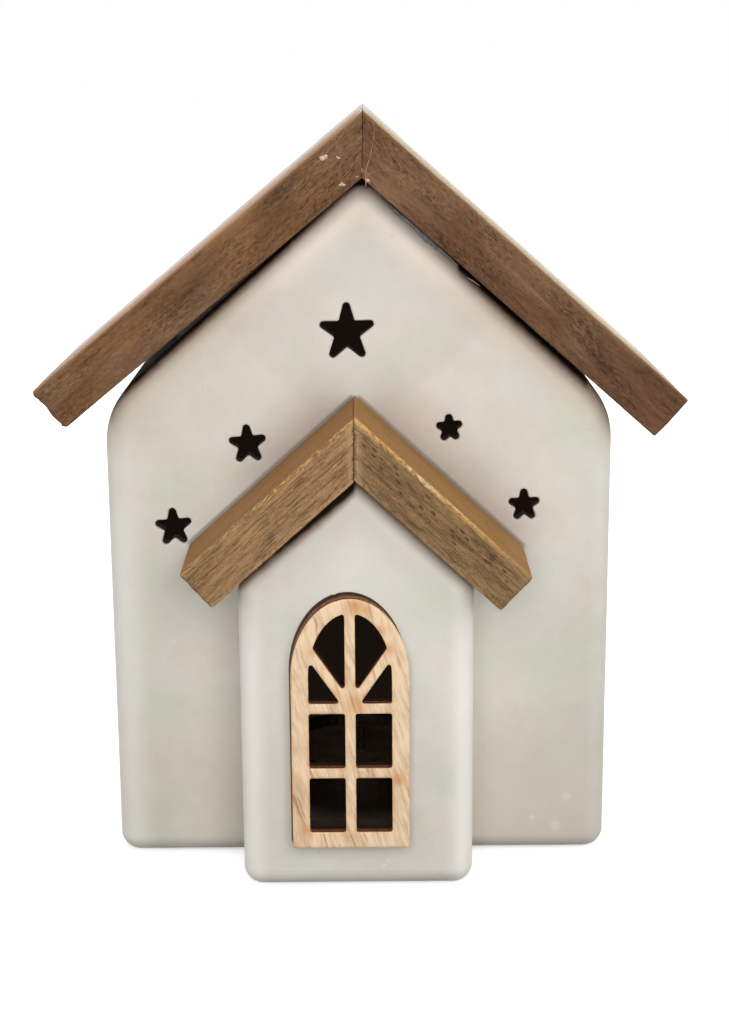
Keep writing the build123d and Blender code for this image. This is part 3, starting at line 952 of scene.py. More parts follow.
def charred_cut():
    """The burnt wall of a laser cut: black at both rims and along its back, brown between them."""
    finish = settings("plywood")
    mix = new_finish("charred_cut")
    here = mix.place()
    low, high = node_box("window_frame")
    y = mix.parts(here)[1]
    depth = (y - low[1]) / (high[1] - low[1])
    ash = mix.noise(mix.mapped(here, (1.6, 0.5, 1.6)), 1.0, 3.0, 0.6)
    darker_share = (ash.between(0.35, 0.7) * 0.6).most(depth.fades(0.12, 0.24)).most(depth.between(0.48, 0.62))
    colour = mix.mix(darker_share, finish.char, toned(finish.char, 0.3))
    return mix.finish(
        Base_Color=colour,
        Roughness=ash * 0.2 + 0.6,
        Normal=mix.bump(ash, 0.1),
        Specular_IOR_Level=0.25,
    )


def cloudy(name, waves, colours, gloss, relief, detail=3.0, contrast=None, **constants):
    """A finish that is cloudy between two display colours.

    Its noise has waves in a millimetre, and contrast is the part of it that the colours change over.
    gloss is the least roughness and how much more the noise adds, and relief is in millimetres.
    """
    mix = new_finish(name)
    cloud = mix.noise(mix.place(), waves, detail)
    share = cloud.between(*contrast) if contrast else cloud
    return mix.finish(
        Base_Color=mix.mix(share, *colours),
        Roughness=cloud * gloss[1] + gloss[0],
        Normal=mix.bump(cloud, relief),
        **constants,
    )


def melt_glue(name, light, dark):
    """Hot-melt glue, cloudy between two colours."""
    return cloudy(name, 0.8, (light, dark), (0.3, 0.2), 0.1)


def glue_thread():
    """A drawn thread of glue, tan where the wood shows through it."""
    tans = (0.64, 0.50, 0.38), (0.48, 0.36, 0.26)
    return cloudy("glue_thread", 0.6, tans, (0.35, 0.2), 0.05, 2.0, (0.35, 0.65))


def bare_fleck():
    """A fleck of pale glue and bare wood."""
    pales = (0.90, 0.80, 0.73), (0.66, 0.54, 0.46)
    return cloudy("pale_fleck", 1.8, pales, (0.5, 0.2), 0.1, 2.0, (0.3, 0.7))


def paraffin():
    """Brown wax, slightly clear, cloudy between two browns."""
    browns = (0.46, 0.38, 0.31), (0.34, 0.27, 0.22)
    return cloudy(
        "paraffin_wax", 0.25, browns, (0.3, 0.25), 0.2, Subsurface_Weight=0.5, Subsurface_Scale=0.004
    )


def tinplate():
    """Dull tinned steel."""
    greys = (0.72, 0.72, 0.72), (0.58, 0.58, 0.59)
    return cloudy("tinplate", 0.6, greys, (0.35, 0.2), 0.05, Metallic=1.0)


def pressed_glue():
    """Clear glue pressed out over dark wood: grey with a blue cast, in long streaks."""
    mix = new_finish("pressed_out_glue")
    here = mix.place()
    pulled = mix.noise(mix.mapped(here, (0.5, 1.5, 0.5)), 1.0, 3.0, 0.6)
    fine = mix.noise(here, 1.4, 3.0, 0.6)
    colour = mix.mix(
        ((pulled - 0.5) * 2.2 + (fine - 0.5) + 0.5).clamped(),
        (0.60, 0.60, 0.58),
        (0.36, 0.365, 0.36),
    )
    return mix.finish(
        Base_Color=colour, Roughness=fine * 0.2 + 0.42, Normal=mix.bump(pulled * 0.5 + fine * 0.5, 0.2)
    )


def pressed_foil():
    """Thin aluminium, darker from low on the cup upwards, with drawn lines and small creases."""
    mix = new_finish("pressed_foil")
    here = mix.place()
    z = mix.parts(here)[2]
    brushed = mix.noise(mix.mapped(here, (0.3, 0.3, 6.0)), 1.0, 3.0)
    crease = mix.noise(here, 0.4, 3.0, 0.6)
    share = (brushed - 0.5) * 0.4 + z.between(1.5, 6.2)
    colour = mix.mix(share.least(1.0), (0.50, 0.45, 0.40), (0.215, 0.18, 0.145))
    return mix.finish(
        Base_Color=colour,
        Metallic=1.0,
        Roughness=(brushed - 0.5) * 0.2 + 0.62,
        Normal=mix.bump(crease * 0.7 + brushed * 0.3, 0.15),
    )


def braided_cotton():
    """Waxed cotton braid, charred at the tip."""
    mix = new_finish("waxed_cotton")
    here = mix.place()
    z = mix.parts(here)[2]
    strand = mix.noise(mix.mapped(here, (3.0, 3.0, 1.2)), 1.0, 2.0)
    colour = mix.mix(strand, (0.17, 0.15, 0.12), (0.10, 0.08, 0.07))
    colour = mix.mix(z.between(14.5, 17.0), colour, (0.08, 0.07, 0.06))
    return mix.finish(Base_Color=colour, Roughness=strand * 0.1 + 0.75, Normal=mix.bump(strand, 0.2))


def dress(node, material):
    """Gives a CAD node one material."""
    mesh = NODES[node].data
    mesh.materials.clear()
    mesh.materials.append(material)


def open_edges(edges, count):
    """Those of some directed edges, each a pair of point numbers below count, with no opposite edge."""
    forward = edges[:, 0].astype(np.int64) * count + edges[:, 1]
    opposite = edges[:, 1].astype(np.int64) * count + edges[:, 0]
    return edges[~np.isin(forward, opposite)]


def outline_of(node):
    """The segments round a flat node's front face, across and up, in millimetres."""
    mesh = NODES[node].data
    places = node_points(node)
    corners = np.zeros(len(mesh.loops), np.int64)
    mesh.loops.foreach_get("vertex_index", corners)
    triangles = places[corners].reshape(-1, 3, 3)
    front = places[:, 1].min()
    face = triangles[np.abs(triangles[:, :, 1] - front).max(axis=1) < 1e-3][:, :, [0, 2]]
    spots, numbers = np.unique(np.round(face.reshape(-1, 2), 4), axis=0, return_inverse=True)
    numbers = numbers.reshape(-1, 3)
    edges = np.stack([numbers, np.roll(numbers, -1, axis=1)], axis=-1).reshape(-1, 2)
    edges = open_edges(edges, len(spots))
    return spots[edges[:, 0]], spots[edges[:, 1]]


def signed_distance(points, starts, ends):
    """How far points lie inside an outline, negative outside it: the least distance to a segment,
    signed by how many segments a line to the right crosses."""
    span = ends - starts
    away = points[:, None, :] - starts[None, :, :]
    share = (away * span).sum(-1) / np.maximum((span**2).sum(-1), 1e-12)
    share = np.clip(share, 0, 1)[..., None]
    gap = np.linalg.norm(away - share * span, axis=-1).min(axis=1)
    x, z = points[:, 0:1], points[:, 1:2]
    crosses = (starts[:, 1] > z) != (ends[:, 1] > z)
    rise = np.where(ends[:, 1] == starts[:, 1], 1e-12, ends[:, 1] - starts[:, 1])
    at = starts[:, 0] + (z - starts[:, 1]) / rise * (ends[:, 0] - starts[:, 0])
    inside = (crosses & (x < at)).sum(axis=1) % 2 == 1
    return np.where(inside, gap, -gap)


# Where the laser dwelt: across, up, the reach of its halo and how brown it is
SCORCHES = [
    (-1.4, 63.8, 2.2, 0.75), (0.6, 63.2, 1.6, 0.6), (3.7, 58.6, 1.3, 0.7), (5.3, 54.6, 1.4, 0.7),
    (-10.3, 54.2, 1.2, 0.6), (-6.1, 45.1, 1.2, 0.6), (-1.2, 42.5, 2.0, 0.7), (7.3, 26.1, 1.5, 0.9),
    (-11.6, 15.1, 1.7, 0.6), (-14.5, 33.0, 1.2, 0.45), (-14.5, 27.0, 1.2, 0.5), (-2.4, 13.5, 1.4, 0.3),
]


# The window's small forms: how far a cut is drawn in halfway through, how far from the outer rim the
# lean goes, how far the nick cuts into the rim and into the face with its size in each, and how far
# the face drops at an edge and over what width
WAIST = 0.10
LEAN_REACH = 0.8
NICK_IN_RIM, NICK_RIM_SIZE = 0.35, 0.3
NICK_IN_FACE, NICK_FACE_SIZE = 0.3, 0.45
EDGE_DROP, EDGE_WIDTH = 0.12, 0.18


def window_surface(step, lean, nick):
    """The lattice window: a grid whose cells inside the outline are kept, front and back, with its
    rim points drawn onto the outline, and burnt walls between them.

    A wall's row at share r of the thickness is drawn in by a bow, so that the cut is slightly
    waisted, as a laser leaves it. The outer rim, which is the convex part of the outline, leans: its
    row is moved by lean * r. The face dips in a small nick at one spot of its rim.
    """
    low, high = node_box("window_frame")
    starts, ends = outline_of("window_frame")
    margin = 2 * step
    columns = np.arange(low[0] - margin, high[0] + margin, step)
    rows = np.arange(low[2] - margin, high[2] + margin, step)
    x, z = np.meshgrid(columns, rows)
    flat = np.stack([x.ravel(), z.ravel()], axis=1)
    gap = signed_distance(flat, starts, ends)
    small = 0.02
    slope = np.stack(
        [
            signed_distance(flat + [small, 0], starts, ends) - gap,
            signed_distance(flat + [0, small], starts, ends) - gap,
        ],
        axis=1,
    ) / small
    size = np.linalg.norm(slope, axis=1, keepdims=True)
    slope = slope / np.maximum(size, 1e-6)
    near = np.abs(gap) < step * 0.55
    inner = np.where(near, 0.0, gap)
    index = np.arange(x.size).reshape(x.shape)
    cells = np.stack(
        [index[:-1, :-1], index[:-1, 1:], index[1:, 1:], index[1:, :-1]], axis=-1
    ).reshape(-1, 4)
    held = (inner[cells] >= 0).all(axis=1) & (inner[cells].max(axis=1) > 0)
    cells = cells[held]
    edges = np.concatenate([cells[:, [i, (i + 1) % 4]] for i in range(4)])
    rim = open_edges(edges, x.size)
    near[rim.ravel()] = True
    drawn = np.where(near[:, None], flat - slope * gap[:, None], flat)
    inner = np.where(near, 0.0, gap)
    used = np.unique(cells)
    renumber = np.full(x.size, -1)
    renumber[used] = np.arange(len(used))
    cells = renumber[cells]
    rim = renumber[rim]
    face = drawn[used]
    edge = np.maximum(inner[used], 0)
    inward = slope[used]
    span = ends - starts
    to_all = starts[None, :, :] - starts[:, None, :]
    turn = span[:, None, 0] * to_all[..., 1] - span[:, None, 1] * to_all[..., 0]
    outer = (turn > -1e-3).all(axis=1) | (turn < 1e-3).all(axis=1)
    from_outer = signed_distance(face, starts[outer], ends[outer])
    near_outer = np.exp(-((from_outer / LEAN_REACH) ** 2))[:, None]
    from_nick = np.linalg.norm(face - nick, axis=1)
    face = face + inward * (NICK_IN_RIM * np.exp(-((from_nick / NICK_RIM_SIZE) ** 2)))[:, None]
    scorch = np.zeros(len(face))
    for across, up, reach, brown in SCORCHES:
        away = np.linalg.norm(face - [across, up], axis=1)
        scorch = np.maximum(scorch, brown * np.exp(-((away / reach) ** 2)))
    thickness = high[1] - low[1]
    layers = 6
    shares = np.linspace(0, 1, layers)
    points = []
    for share in shares:
        bow = WAIST * np.sin(np.pi * share)
        moved = face + inward * bow * (edge[:, None] == 0) + near_outer * share * np.array(lean)
        depth = np.full(len(face), low[1] + thickness * share)
        if share == 0:
            depth = depth + EDGE_DROP * np.exp(-edge / EDGE_WIDTH)
            depth = depth + NICK_IN_FACE * np.exp(-((from_nick / NICK_FACE_SIZE) ** 2))
        points.append(np.stack([moved[:, 0], depth, moved[:, 1]], axis=1))
    count = len(face)
    walls = []
    for layer in range(layers - 1):
        a = rim + layer * count
        b = rim + (layer + 1) * count
        walls.append(np.stack([a[:, 1], a[:, 0], b[:, 0], b[:, 1]], axis=1))
    faces = np.concatenate([cells, cells[:, ::-1] + count * (layers - 1), *walls])
    burnt = (np.arange(len(faces)) >= 2 * len(cells)).astype(int)
    attributes = {
        "edge": ("FLOAT", np.tile(edge, layers)),
        "scorch": ("FLOAT", np.tile(scorch, layers)),
    }
    points, faces, attributes = drop_loose(np.concatenate(points), faces, attributes)
    return points, faces, attributes, burnt


def drop_loose(points, faces, attributes):
    """The points that faces use, with the faces and attributes renumbered."""
    used = np.unique(faces)
    renumber = np.full(len(points), -1)
    renumber[used] = np.arange(len(used))
    kept = {key: (kind, np.asarray(values)[used]) for key, (kind, values) in attributes.items()}
    return points[used], renumber[faces], kept


def join_surfaces(surfaces):
    """Several surfaces, each points and faces, as one."""
    points = np.concatenate([p for p, f in surfaces])
    starts = np.cumsum([0] + [len(p) for p, f in surfaces[:-1]])
    return points, np.concatenate([f + start for (p, f), start in zip(surfaces, starts)])


def revolve(radii, heights, columns, middle, wobble=None):
    """Points on rings: at a turn t and row r, (radius_r cos t, radius_r sin t, height_r)."""
    turns = np.linspace(0, TAU, columns, endpoint=False)
    radius = np.asarray(radii)[:, None] * np.ones(columns)
    if wobble is not None:
        radius = radius + wobble(turns)[None, :] * (radius > 1) * np.ones((len(radii), 1))
    x = middle[0] + radius * np.cos(turns)
    y = middle[1] + radius * np.sin(turns)
    z = np.asarray(heights)[:, None] * np.ones(columns)
    return np.stack([x, y, z], axis=-1).reshape(-1, 3), grid_faces(len(radii), columns)


def tube(path, radii, sides=8):
    """A round tube: at each point of the path a ring square to it; where a radius is 0 it closes to a
    point.
    """
    path = np.asarray(path, float)
    way = np.gradient(path, axis=0)
    way /= np.linalg.norm(way, axis=1, keepdims=True)
    side = np.cross(way, [0.0, 1.0, 0.0])
    side /= np.maximum(np.linalg.norm(side, axis=1, keepdims=True), 1e-9)
    other = np.cross(way, side)
    turns = np.linspace(0, TAU, sides, endpoint=False)
    radii = np.asarray(radii, float)
    cosines = np.cos(turns)[None, :, None]
    sines = np.sin(turns)[None, :, None]
    ring = side[:, None, :] * cosines + other[:, None, :] * sines
    points = path[:, None, :] + ring * radii[:, None, None]
    return points.reshape(-1, 3), grid_faces(len(path), sides)[:, ::-1]


def smooth_path(points, count):
    """A curve through given points, by cubic steps between them (Catmull-Rom)."""
    points = np.asarray(points, float)
    padded = np.vstack([2 * points[0] - points[1], points, 2 * points[-1] - points[-2]])
    t = np.linspace(0, len(points) - 1 - 1e-9, count)
    i = t.astype(int)
    t = (t - i)[:, None]
    a, b, c, d = padded[i], padded[i + 1], padded[i + 2], padded[i + 3]
    return 0.5 * (
        2 * b + (c - a) * t + (2 * a - 5 * b + 4 * c - d) * t**2 + (3 * b - a - 3 * c + d) * t**3
    )


def thread(front, stations, radii, count=40):
    """A thread of glue that lies on an upright face: a tube along a smooth path, given across and up."""
    path = smooth_path([(x, front - radius * 0.5, z) for (x, z), radius in zip(stations, radii)], count)
    size = np.interp(np.linspace(0, 1, count), np.linspace(0, 1, len(radii)), radii)
    size[[0, -1]] = 0
    return tube(path, size, 6)


def fleck(front, across, up, size, seed):
    """A ragged fleck on an upright face: rings round its middle at share r of the radius, which
    changes with the turn t by noise, and stand out by 0.18 (1 - r * r)."""
    turns = np.linspace(0, TAU, 20, endpoint=False)
    round_it = np.stack([np.cos(turns) * 1.3 + 5 * seed, np.sin(turns) * 1.3, np.full(20, 0.5)], axis=-1)
    radius = size * (0.6 + 0.55 * layered_noise(round_it, seed, 2))
    shares = np.array([0.0, 0.35, 0.7, 1.0, 0.0])
    out = np.array([0.18, 0.15, 0.09, -0.02, -0.05])
    x = across + shares[:, None] * radius * np.cos(turns) * 1.3
    z = up + shares[:, None] * radius * np.sin(turns)
    y = front - out[:, None] * np.ones(20)
    return np.stack([x, y, z], axis=-1).reshape(-1, 3), grid_faces(5, 20)


class TEALIGHT_OT_shell(bpy.types.Operator):
    """Finishes the cast ceramic shell"""

    bl_idname = "tealight.shell"
    bl_label = "Ceramic Shell"

    def execute(self, context):
        dress("house_body", glazed_ceramic())
        return {"FINISHED"}


class TEALIGHT_OT_roofs(bpy.types.Operator):
    """Builds the sawn boards of both roofs"""

    bl_idname = "tealight.roofs"
    bl_label = "Roof Boards"

    def execute(self, context):
        finish = settings("timber")
        # Each main board: its warm tint, its upper face's pale painted-light colours at the front and
        # back, and its arris colour, worn wood with painted highlight, with its strength
        left = brown_board(
            "brown_stain_left", (1.0, 0.95, 0.86),
            [(0.72, 0.56, 0.44), (0.80, 0.67, 0.57)], [(0.74, 0.56, 0.42), 0.7],
        )
        right = brown_board(
            "brown_stain_right", (0.85, 0.79, 0.78),
            [(0.76, 0.67, 0.52), (0.84, 0.77, 0.62)], [(0.66, 0.52, 0.35), 0.5],
        )
        # For each porch board the last argument is the stretch of its arris with painted highlight
        porch_left = light_board(
            "light_stain_left", (0.95, 0.925, 0.875), (0.90, 0.86, 0.80), 0.0, [(26.0, 6.6)], 0.46,
            (90.0, 95.0),
        )
        porch_right = light_board(
            "light_stain_right", (0.82, 0.805, 0.735), (0.93, 0.915, 0.84), 1.0, [], 0.34, (13.0, 24.0)
        )
        # Arris radius, seed, relief, wear, saw wave, corners rounded at the eaves, reach, how far
        # the mitre closes, and rise
        boards = [
            ("main_roof_board_left", "main_timber_left", left, "stained_wood",
             0.22, 3, 0.06, 0.08, 0.42, (0.5, 1.2), 0.75, 0.17),
            ("main_roof_board_right", "main_timber_right", right, "stained_wood",
             0.22, 5, 0.06, 0.08, 0.1, (0.4, 0.4), 0.2, 0.17),
            ("porch_roof_board_left", "porch_timber_left", porch_left, "porch_wood",
             0.45, 8, 0.08, 0.2, 0.1, (0.6, 0.6), 0.1, -0.17, PORCH_RISE),
            ("porch_roof_board_right", "porch_timber_right", porch_right, "porch_wood",
             0.45, 11, 0.08, 0.2, 0.1, (0.6, 0.6), 0.1, 0.5, PORCH_RISE),
        ]
        for node, name, material, slot, arris, *form in boards:
            points, faces, attributes = board_surface(node, arris, finish.mesh_step, *form)
            piece = mesh_piece(name, points, faces, HOUSE, slot, [material], attributes)
            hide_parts(node)
        return {"FINISHED"}


class TEALIGHT_OT_window(bpy.types.Operator):
    """Builds the laser-cut plywood window"""

    bl_idname = "tealight.window"
    bl_label = "Plywood Window"

    def execute(self, context):
        points, faces, attributes, burnt = window_surface(
            settings("plywood").mesh_step, (-0.45, 0.5), (-5.2, 65.3)
        )
        piece = mesh_piece(
            "lattice_window", points, faces, HOUSE, "plywood", [veneer(), charred_cut()],
            attributes, burnt, 2e-5,
        )
        piece.data.set_sharp_from_angle(angle=0.6)
        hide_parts("window_frame")
        return {"FINISHED"}


# Threads of glue on the ridge and the splinter under the right board: places across and up, and the
# radius at each
THREADS = [
    (
        [(1.45, 146.9), (1.46, 148.8), (1.5, 150.5), (2.33, 153.1), (3.0, 156.4), (3.15, 158.7),
         (2.7, 160.3)],
        [0.12, 0.15, 0.12, 0.08, 0.06, 0.05, 0.035],
    ),
    (
        [(1.7, 148.3), (2.1, 149.6), (3.3, 150.2), (5.7, 150.45), (7.3, 150.1), (8.15, 148.8),
         (8.05, 146.2)],
        [0.05, 0.05, 0.045, 0.04, 0.035, 0.035, 0.03],
    ),
]
SPLINTER = ([(22.0, 128.5), (23.2, 127.9), (24.8, 126.7)], [0.08, 0.16, 0.05])

# Pale flecks on the ridge: across, up, size and seed
FLECKS = [
    (-7.05, 152.9, 1.05, 3), (-4.04, 152.9, 0.5, 4), (-3.4, 147.6, 0.75, 5), (-0.25, 149.2, 0.6, 6),
    (1.85, 148.4, 0.5, 7),
]


class TEALIGHT_OT_glue(bpy.types.Operator):
    """Finishes the glue and draws its threads and flecks at the main ridge"""

    bl_idname = "tealight.glue"
    bl_label = "Glue"

    def execute(self, context):
        plain = melt_glue("milky_melt_glue", (0.86, 0.83, 0.77), (0.70, 0.66, 0.60))
        stained = melt_glue("stained_melt_glue", (0.34, 0.24, 0.17), (0.20, 0.13, 0.09))
        for node in NODES:
            if "glue" in node:
                dress(node, plain if "window" in node else stained)
        front = node_box("main_roof_board_left")[0][1]
        splinter_front = MAIN_BLOCK["front"] - 4.5
        splinter = thread(splinter_front, *SPLINTER, 24)
        threads = join_surfaces([*(thread(front, *one) for one in THREADS), splinter])
        mesh_piece("glue_threads", *threads, HOUSE, "hot_melt_glue", [glue_thread()])
        flecks = join_surfaces([fleck(front, *one) for one in FLECKS])
        mesh_piece("pale_flecks", *flecks, HOUSE, "hot_melt_glue", [bare_fleck()])
        _, ridge_under, _, eaves_under = board_corners("main_roof_board_right")
        way = (eaves_under - ridge_under) / np.linalg.norm(eaves_under - ridge_under)
        along = np.linspace(7.0, 27.0, 80)
        drift = layered_noise(np.stack([along / 2.5, along * 0, along * 0], axis=-1), 12)
        down = 0.75 + 0.12 * drift
        path = np.stack(
            [
                ridge_under[0] + way[0] * along - down * abs(way[1]),
                np.full(80, MAIN_BLOCK["front"] + 1.5) + 0.2 * drift,
                ridge_under[1] + way[1] * along - down * abs(way[0]),
            ],
            axis=-1,
        )
        size = (0.5 + 0.3 * drift) * np.sin(np.pi * np.linspace(0, 1, 80)) ** 0.35
        size[[0, -1]] = 0
        bead = tube(path, size, 10)
        mesh_piece("pressed_out_bead", *bead, HOUSE, "hot_melt_glue", [pressed_glue()])
        return {"FINISHED"}


class TEALIGHT_OT_candle(bpy.types.Operator):
    """Builds the tealight's fluted cup, wax and wick"""

    bl_idname = "tealight.candle"
    bl_label = "Tealight"

    def execute(self, context):
        finish = settings("candle")
        low, high = node_box("tealight_cup")
        middle = (low + high) / 2
        outer = (high[0] - low[0]) / 2
        body = outer - finish.lip
        rim = high[2]

        def flutes(turns):
            return -finish.flute_depth * (0.5 + 0.5 * np.cos(finish.flutes * turns))

        within = body - finish.foil
        radii = [
            0.0, body * 0.55, body * 0.9, body - 0.5, body, body, body, body + 0.1, outer - 0.25, outer,
            outer - 0.05, body + 0.1, within, within, within - 0.4, 0.0,
        ]
        heights = [
            0.0, 0.0, 0.0, 0.12, 0.6, rim * 0.5, rim - 1.2, rim - 0.5, rim - 0.45, rim - 0.22,
            rim, rim, rim - 0.5, 0.9, finish.foil, finish.foil,
        ]
        points, faces = revolve(radii, heights, finish.flutes * 8, middle, flutes)
        cup = mesh_piece("fluted_cup", points, faces, TEALIGHT, "foil", [pressed_foil()])
        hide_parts("tealight_cup")

        wax_low, wax_high = node_box("tealight_wax")
        edge = (wax_high[0] - wax_low[0]) / 2 - finish.flute_depth - 0.05
        top = wax_high[2]
        radii = [
            0.0, edge * 0.6, edge, edge, edge - 0.2, edge * 0.85, edge * 0.5, edge * 0.2, 1.6, 0.8, 0.0,
        ]
        heights = [
            wax_low[2], wax_low[2], wax_low[2], top, top - 0.25, top - 0.55, top - 0.65, top - 0.6,
            top - 0.35, top, top,
        ]
        points, faces = revolve(radii, heights, 96, middle)
        wax = mesh_piece("poured_wax", points, faces, TEALIGHT, "wax", [paraffin()])
        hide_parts("tealight_wax")

        wick_low, wick_high = node_box("tealight_wick")
        radius = (wick_high[0] - wick_low[0]) / 2
        rows = 90
        share = np.linspace(0, 1, rows)
        up = wick_low[2] + (wick_high[2] - wick_low[2]) * share
        turns = np.linspace(0, TAU, 18, endpoint=False)
        braid = 1 + 0.16 * np.cos(3 * turns[None, :] + share[:, None] * 60)
        round_off = np.sqrt(np.clip(1 - np.clip((share - 0.96) / 0.04, 0, 1) ** 2, 0, 1))
        round_off[0] = 0
        size = radius / 1.16 * braid * round_off[:, None]
        x = middle[0] + size * np.cos(turns)
        y = middle[1] + size * np.sin(turns)
        z = up[:, None] * np.ones(len(turns))
        points = np.stack([x, y, z], axis=-1).reshape(-1, 3)
        wick = mesh_piece(
            "braided_wick", points, grid_faces(rows, len(turns)), TEALIGHT, "wick_cotton",
            [braided_cotton()],
        )
        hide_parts("tealight_wick")
        dress("wick_sustainer", tinplate())
        return {"FINISHED"}


# Softboxes: where each stands and looks, its size, power and colour
LAMPS = [
    ("key_softbox", (70, -640, 320), (0, 0, 80), 560, 3.75, (1.0, 0.988, 0.97)),
    ("right_softbox", (640, -150, 300), (0, 0, 70), 500, 1.5, (0.98, 0.99, 1.0)),
    ("left_softbox", (-640, -150, 300), (0, 0, 70), 500, 1.3, (0.98, 0.99, 1.0)),
    ("top_softbox", (0, 160, 900), (0, 0, 60), 700, 5.2, (1.0, 1.0, 1.0)),
]

# Painted shade on the floor: where it gives off little light, under the main house and the porch: the
# middle across and back, and the distances over which that fades, to the sides and to front and back
PAINTED_FLOOR_SHADE = [
    ((-0.4, 8.85), (42.0, 52.0), (20.0, 28.5)), ((-1.2, -20.0), (14.0, 22.0), (10.0, 17.0)),
]


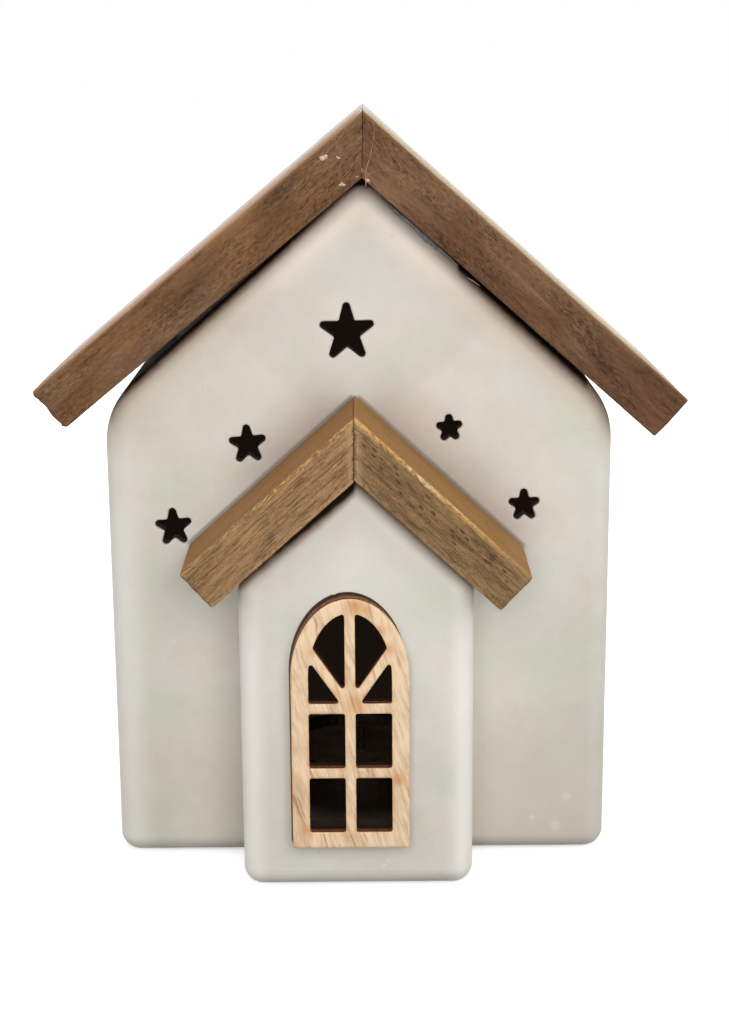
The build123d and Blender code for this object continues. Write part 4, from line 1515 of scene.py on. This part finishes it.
class TEALIGHT_OT_stage(bpy.types.Operator):
    """Sets up the floor, the lights and the camera"""

    bl_idname = "tealight.stage"
    bl_label = "Studio"

    def execute(self, context):
        studio = settings("studio")
        context.scene.view_settings.view_transform = "Standard"
        self.add_floor()
        self.add_world(studio.world_light)
        for lamp in LAMPS:
            self.add_lamp(*lamp)
        self.add_camera(studio)
        return {"FINISHED"}

    def seen(self, mix):
        """1 for a ray from the camera, off a glossy surface or through clear stuff."""
        rays = [mix.node("ShaderNodeLightPath", output=f"Is {kind} Ray") for kind in
                ("Camera", "Glossy", "Transmission")]
        return rays[0].most(rays[1]).most(rays[2])

    def add_floor(self):
        """A wide round floor, white to the camera but for the shadow and a painted shade under the house.
        """
        mix = new_finish("pale_floor")
        x, y, _ = mix.parts(mix.place())
        far = ((x * x + y * y) ** 0.5).between(170.0, 420.0)
        main, porch = [
            abs(x - across).fades(*wide) * abs(y - back).fades(*deep)
            for (across, back), wide, deep in PAINTED_FLOOR_SHADE
        ]
        # Painted shade on the floor under the house and the porch
        dark = main.most(porch) * (y.between(-12.0, 26.0) * 0.06 + 0.9)
        light = mix.mix((far * 0.45 + 0.55) * (1 - dark), BLACK, WHITE)
        shaded = mix.node("ShaderNodeBsdfDiffuse", None, {"Color": (0.8, 0.8, 0.8, 1.0)})
        glow = mix.node("ShaderNodeEmission", None, {"Color": light, "Strength": 1.0})
        white = mix.node("ShaderNodeAddShader", None, {0: shaded, 1: glow})
        plain = mix.node("ShaderNodeBsdfDiffuse", None, {"Color": (0.14, 0.137, 0.133, 1.0)})
        mix.end_in(mix.node("ShaderNodeMixShader", None, {0: self.seen(mix), 1: plain, 2: white}))
        radii = [0.0, 300.0, 900.0, 4000.0]
        points, faces = revolve(radii, [-0.05] * len(radii), 64, (0.0, 0.0))
        mesh = bpy.data.meshes.new("studio_floor")
        mesh.from_pydata((points * MM).tolist(), [], faces.tolist())
        mesh.materials.append(mix.owner)
        floor = bpy.data.objects.new("studio_floor", mesh)
        bpy.context.scene.collection.objects.link(floor)

    def add_world(self, strength):
        """Even light from all round, and white where the camera looks past the floor."""
        world = bpy.data.worlds.new("studio_world")
        mix = Recipe(world, "ShaderNodeOutputWorld")
        warm = (1.0, 0.995, 0.985, 1.0)
        lit = mix.node("ShaderNodeBackground", None, {"Color": warm, "Strength": strength})
        white = mix.node("ShaderNodeBackground", None, {"Color": (1.0, 1.0, 1.0, 1.0), "Strength": 1.0})
        mix.end_in(mix.node("ShaderNodeMixShader", None, {0: self.seen(mix), 1: lit, 2: white}))
        bpy.context.scene.world = world

    def add_lamp(self, name, place, target, size, power, colour):
        """A square softbox at a place, facing a target, all in millimetres."""
        lamp = bpy.data.lights.new(name, "AREA")
        lamp.shape = "SQUARE"
        lamp.size = size * MM
        lamp.energy = power
        lamp.color = colour
        holder = bpy.data.objects.new(name, lamp)
        bpy.context.scene.collection.objects.link(holder)
        place = Vector(place) * MM
        way = Vector(target) * MM - place
        turned = way.to_track_quat("-Z", "Y").to_matrix().to_4x4()
        holder.matrix_world = Matrix.Translation(place) @ turned

    def add_camera(self, studio):
        """The camera: pitch looks down, yaw turns to the right, roll leans it."""
        pitch, yaw, roll = np.radians([studio.camera_pitch, studio.camera_yaw, studio.camera_roll])
        ahead = np.array([np.sin(yaw) * np.cos(pitch), np.cos(yaw) * np.cos(pitch), -np.sin(pitch)])
        level = np.array([np.cos(yaw), -np.sin(yaw), 0.0])
        up = np.cross(level, ahead)
        right = np.cos(roll) * level + np.sin(roll) * up
        up = -np.sin(roll) * level + np.cos(roll) * up
        lens = bpy.data.cameras.new("photo_camera")
        lens.lens = studio.lens
        lens.clip_start = 0.01
        camera = bpy.data.objects.new("photo_camera", lens)
        bpy.context.scene.collection.objects.link(camera)
        turned = Matrix(np.stack([right, up, -ahead], axis=1).tolist()).to_4x4()
        camera.matrix_world = Matrix.Translation(Vector(studio.camera_place) * MM) @ turned
        bpy.context.scene.camera = camera


class TEALIGHT_PT_panel(bpy.types.Panel):
    """Lists the steps that build the tealight house"""

    bl_idname = "TEALIGHT_PT_panel"
    bl_label = "Tealight House"
    bl_space_type = "VIEW_3D"
    bl_region_type = "UI"
    bl_category = "Tealight House"

    def draw(self, context):
        for operator in OPERATORS:
            self.layout.operator(operator.bl_idname)
        for name, group in GROUPS.items():
            box = self.layout.box()
            box.label(text=name.title())
            for key in group.__annotations__:
                box.prop(settings(name), key)


GROUPS = {
    "ceramic": CeramicFinish,
    "timber": TimberFinish,
    "plywood": PlywoodFinish,
    "candle": TealightFinish,
    "studio": Studio,
}
OPERATORS = [
    TEALIGHT_OT_shell,
    TEALIGHT_OT_roofs,
    TEALIGHT_OT_window,
    TEALIGHT_OT_glue,
    TEALIGHT_OT_candle,
    TEALIGHT_OT_stage,
]
CLASSES = [*GROUPS.values(), *OPERATORS, TEALIGHT_PT_panel]


def register():
    for one in CLASSES:
        bpy.utils.register_class(one)
    for name, group in GROUPS.items():
        setattr(bpy.types.Scene, "tealight_" + name, PointerProperty(type=group))


def unregister():
    for name in GROUPS:
        delattr(bpy.types.Scene, "tealight_" + name)
    for one in reversed(CLASSES):
        bpy.utils.unregister_class(one)


def write_sizes():
    """Brings the view layer up to date."""
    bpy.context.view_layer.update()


def main():
    register()
    bpy.ops.tealight.shell()
    bpy.ops.tealight.roofs()
    bpy.ops.tealight.window()
    bpy.ops.tealight.glue()
    bpy.ops.tealight.candle()
    bpy.ops.tealight.stage()
    write_sizes()


if __name__ == "__main__":
    main()
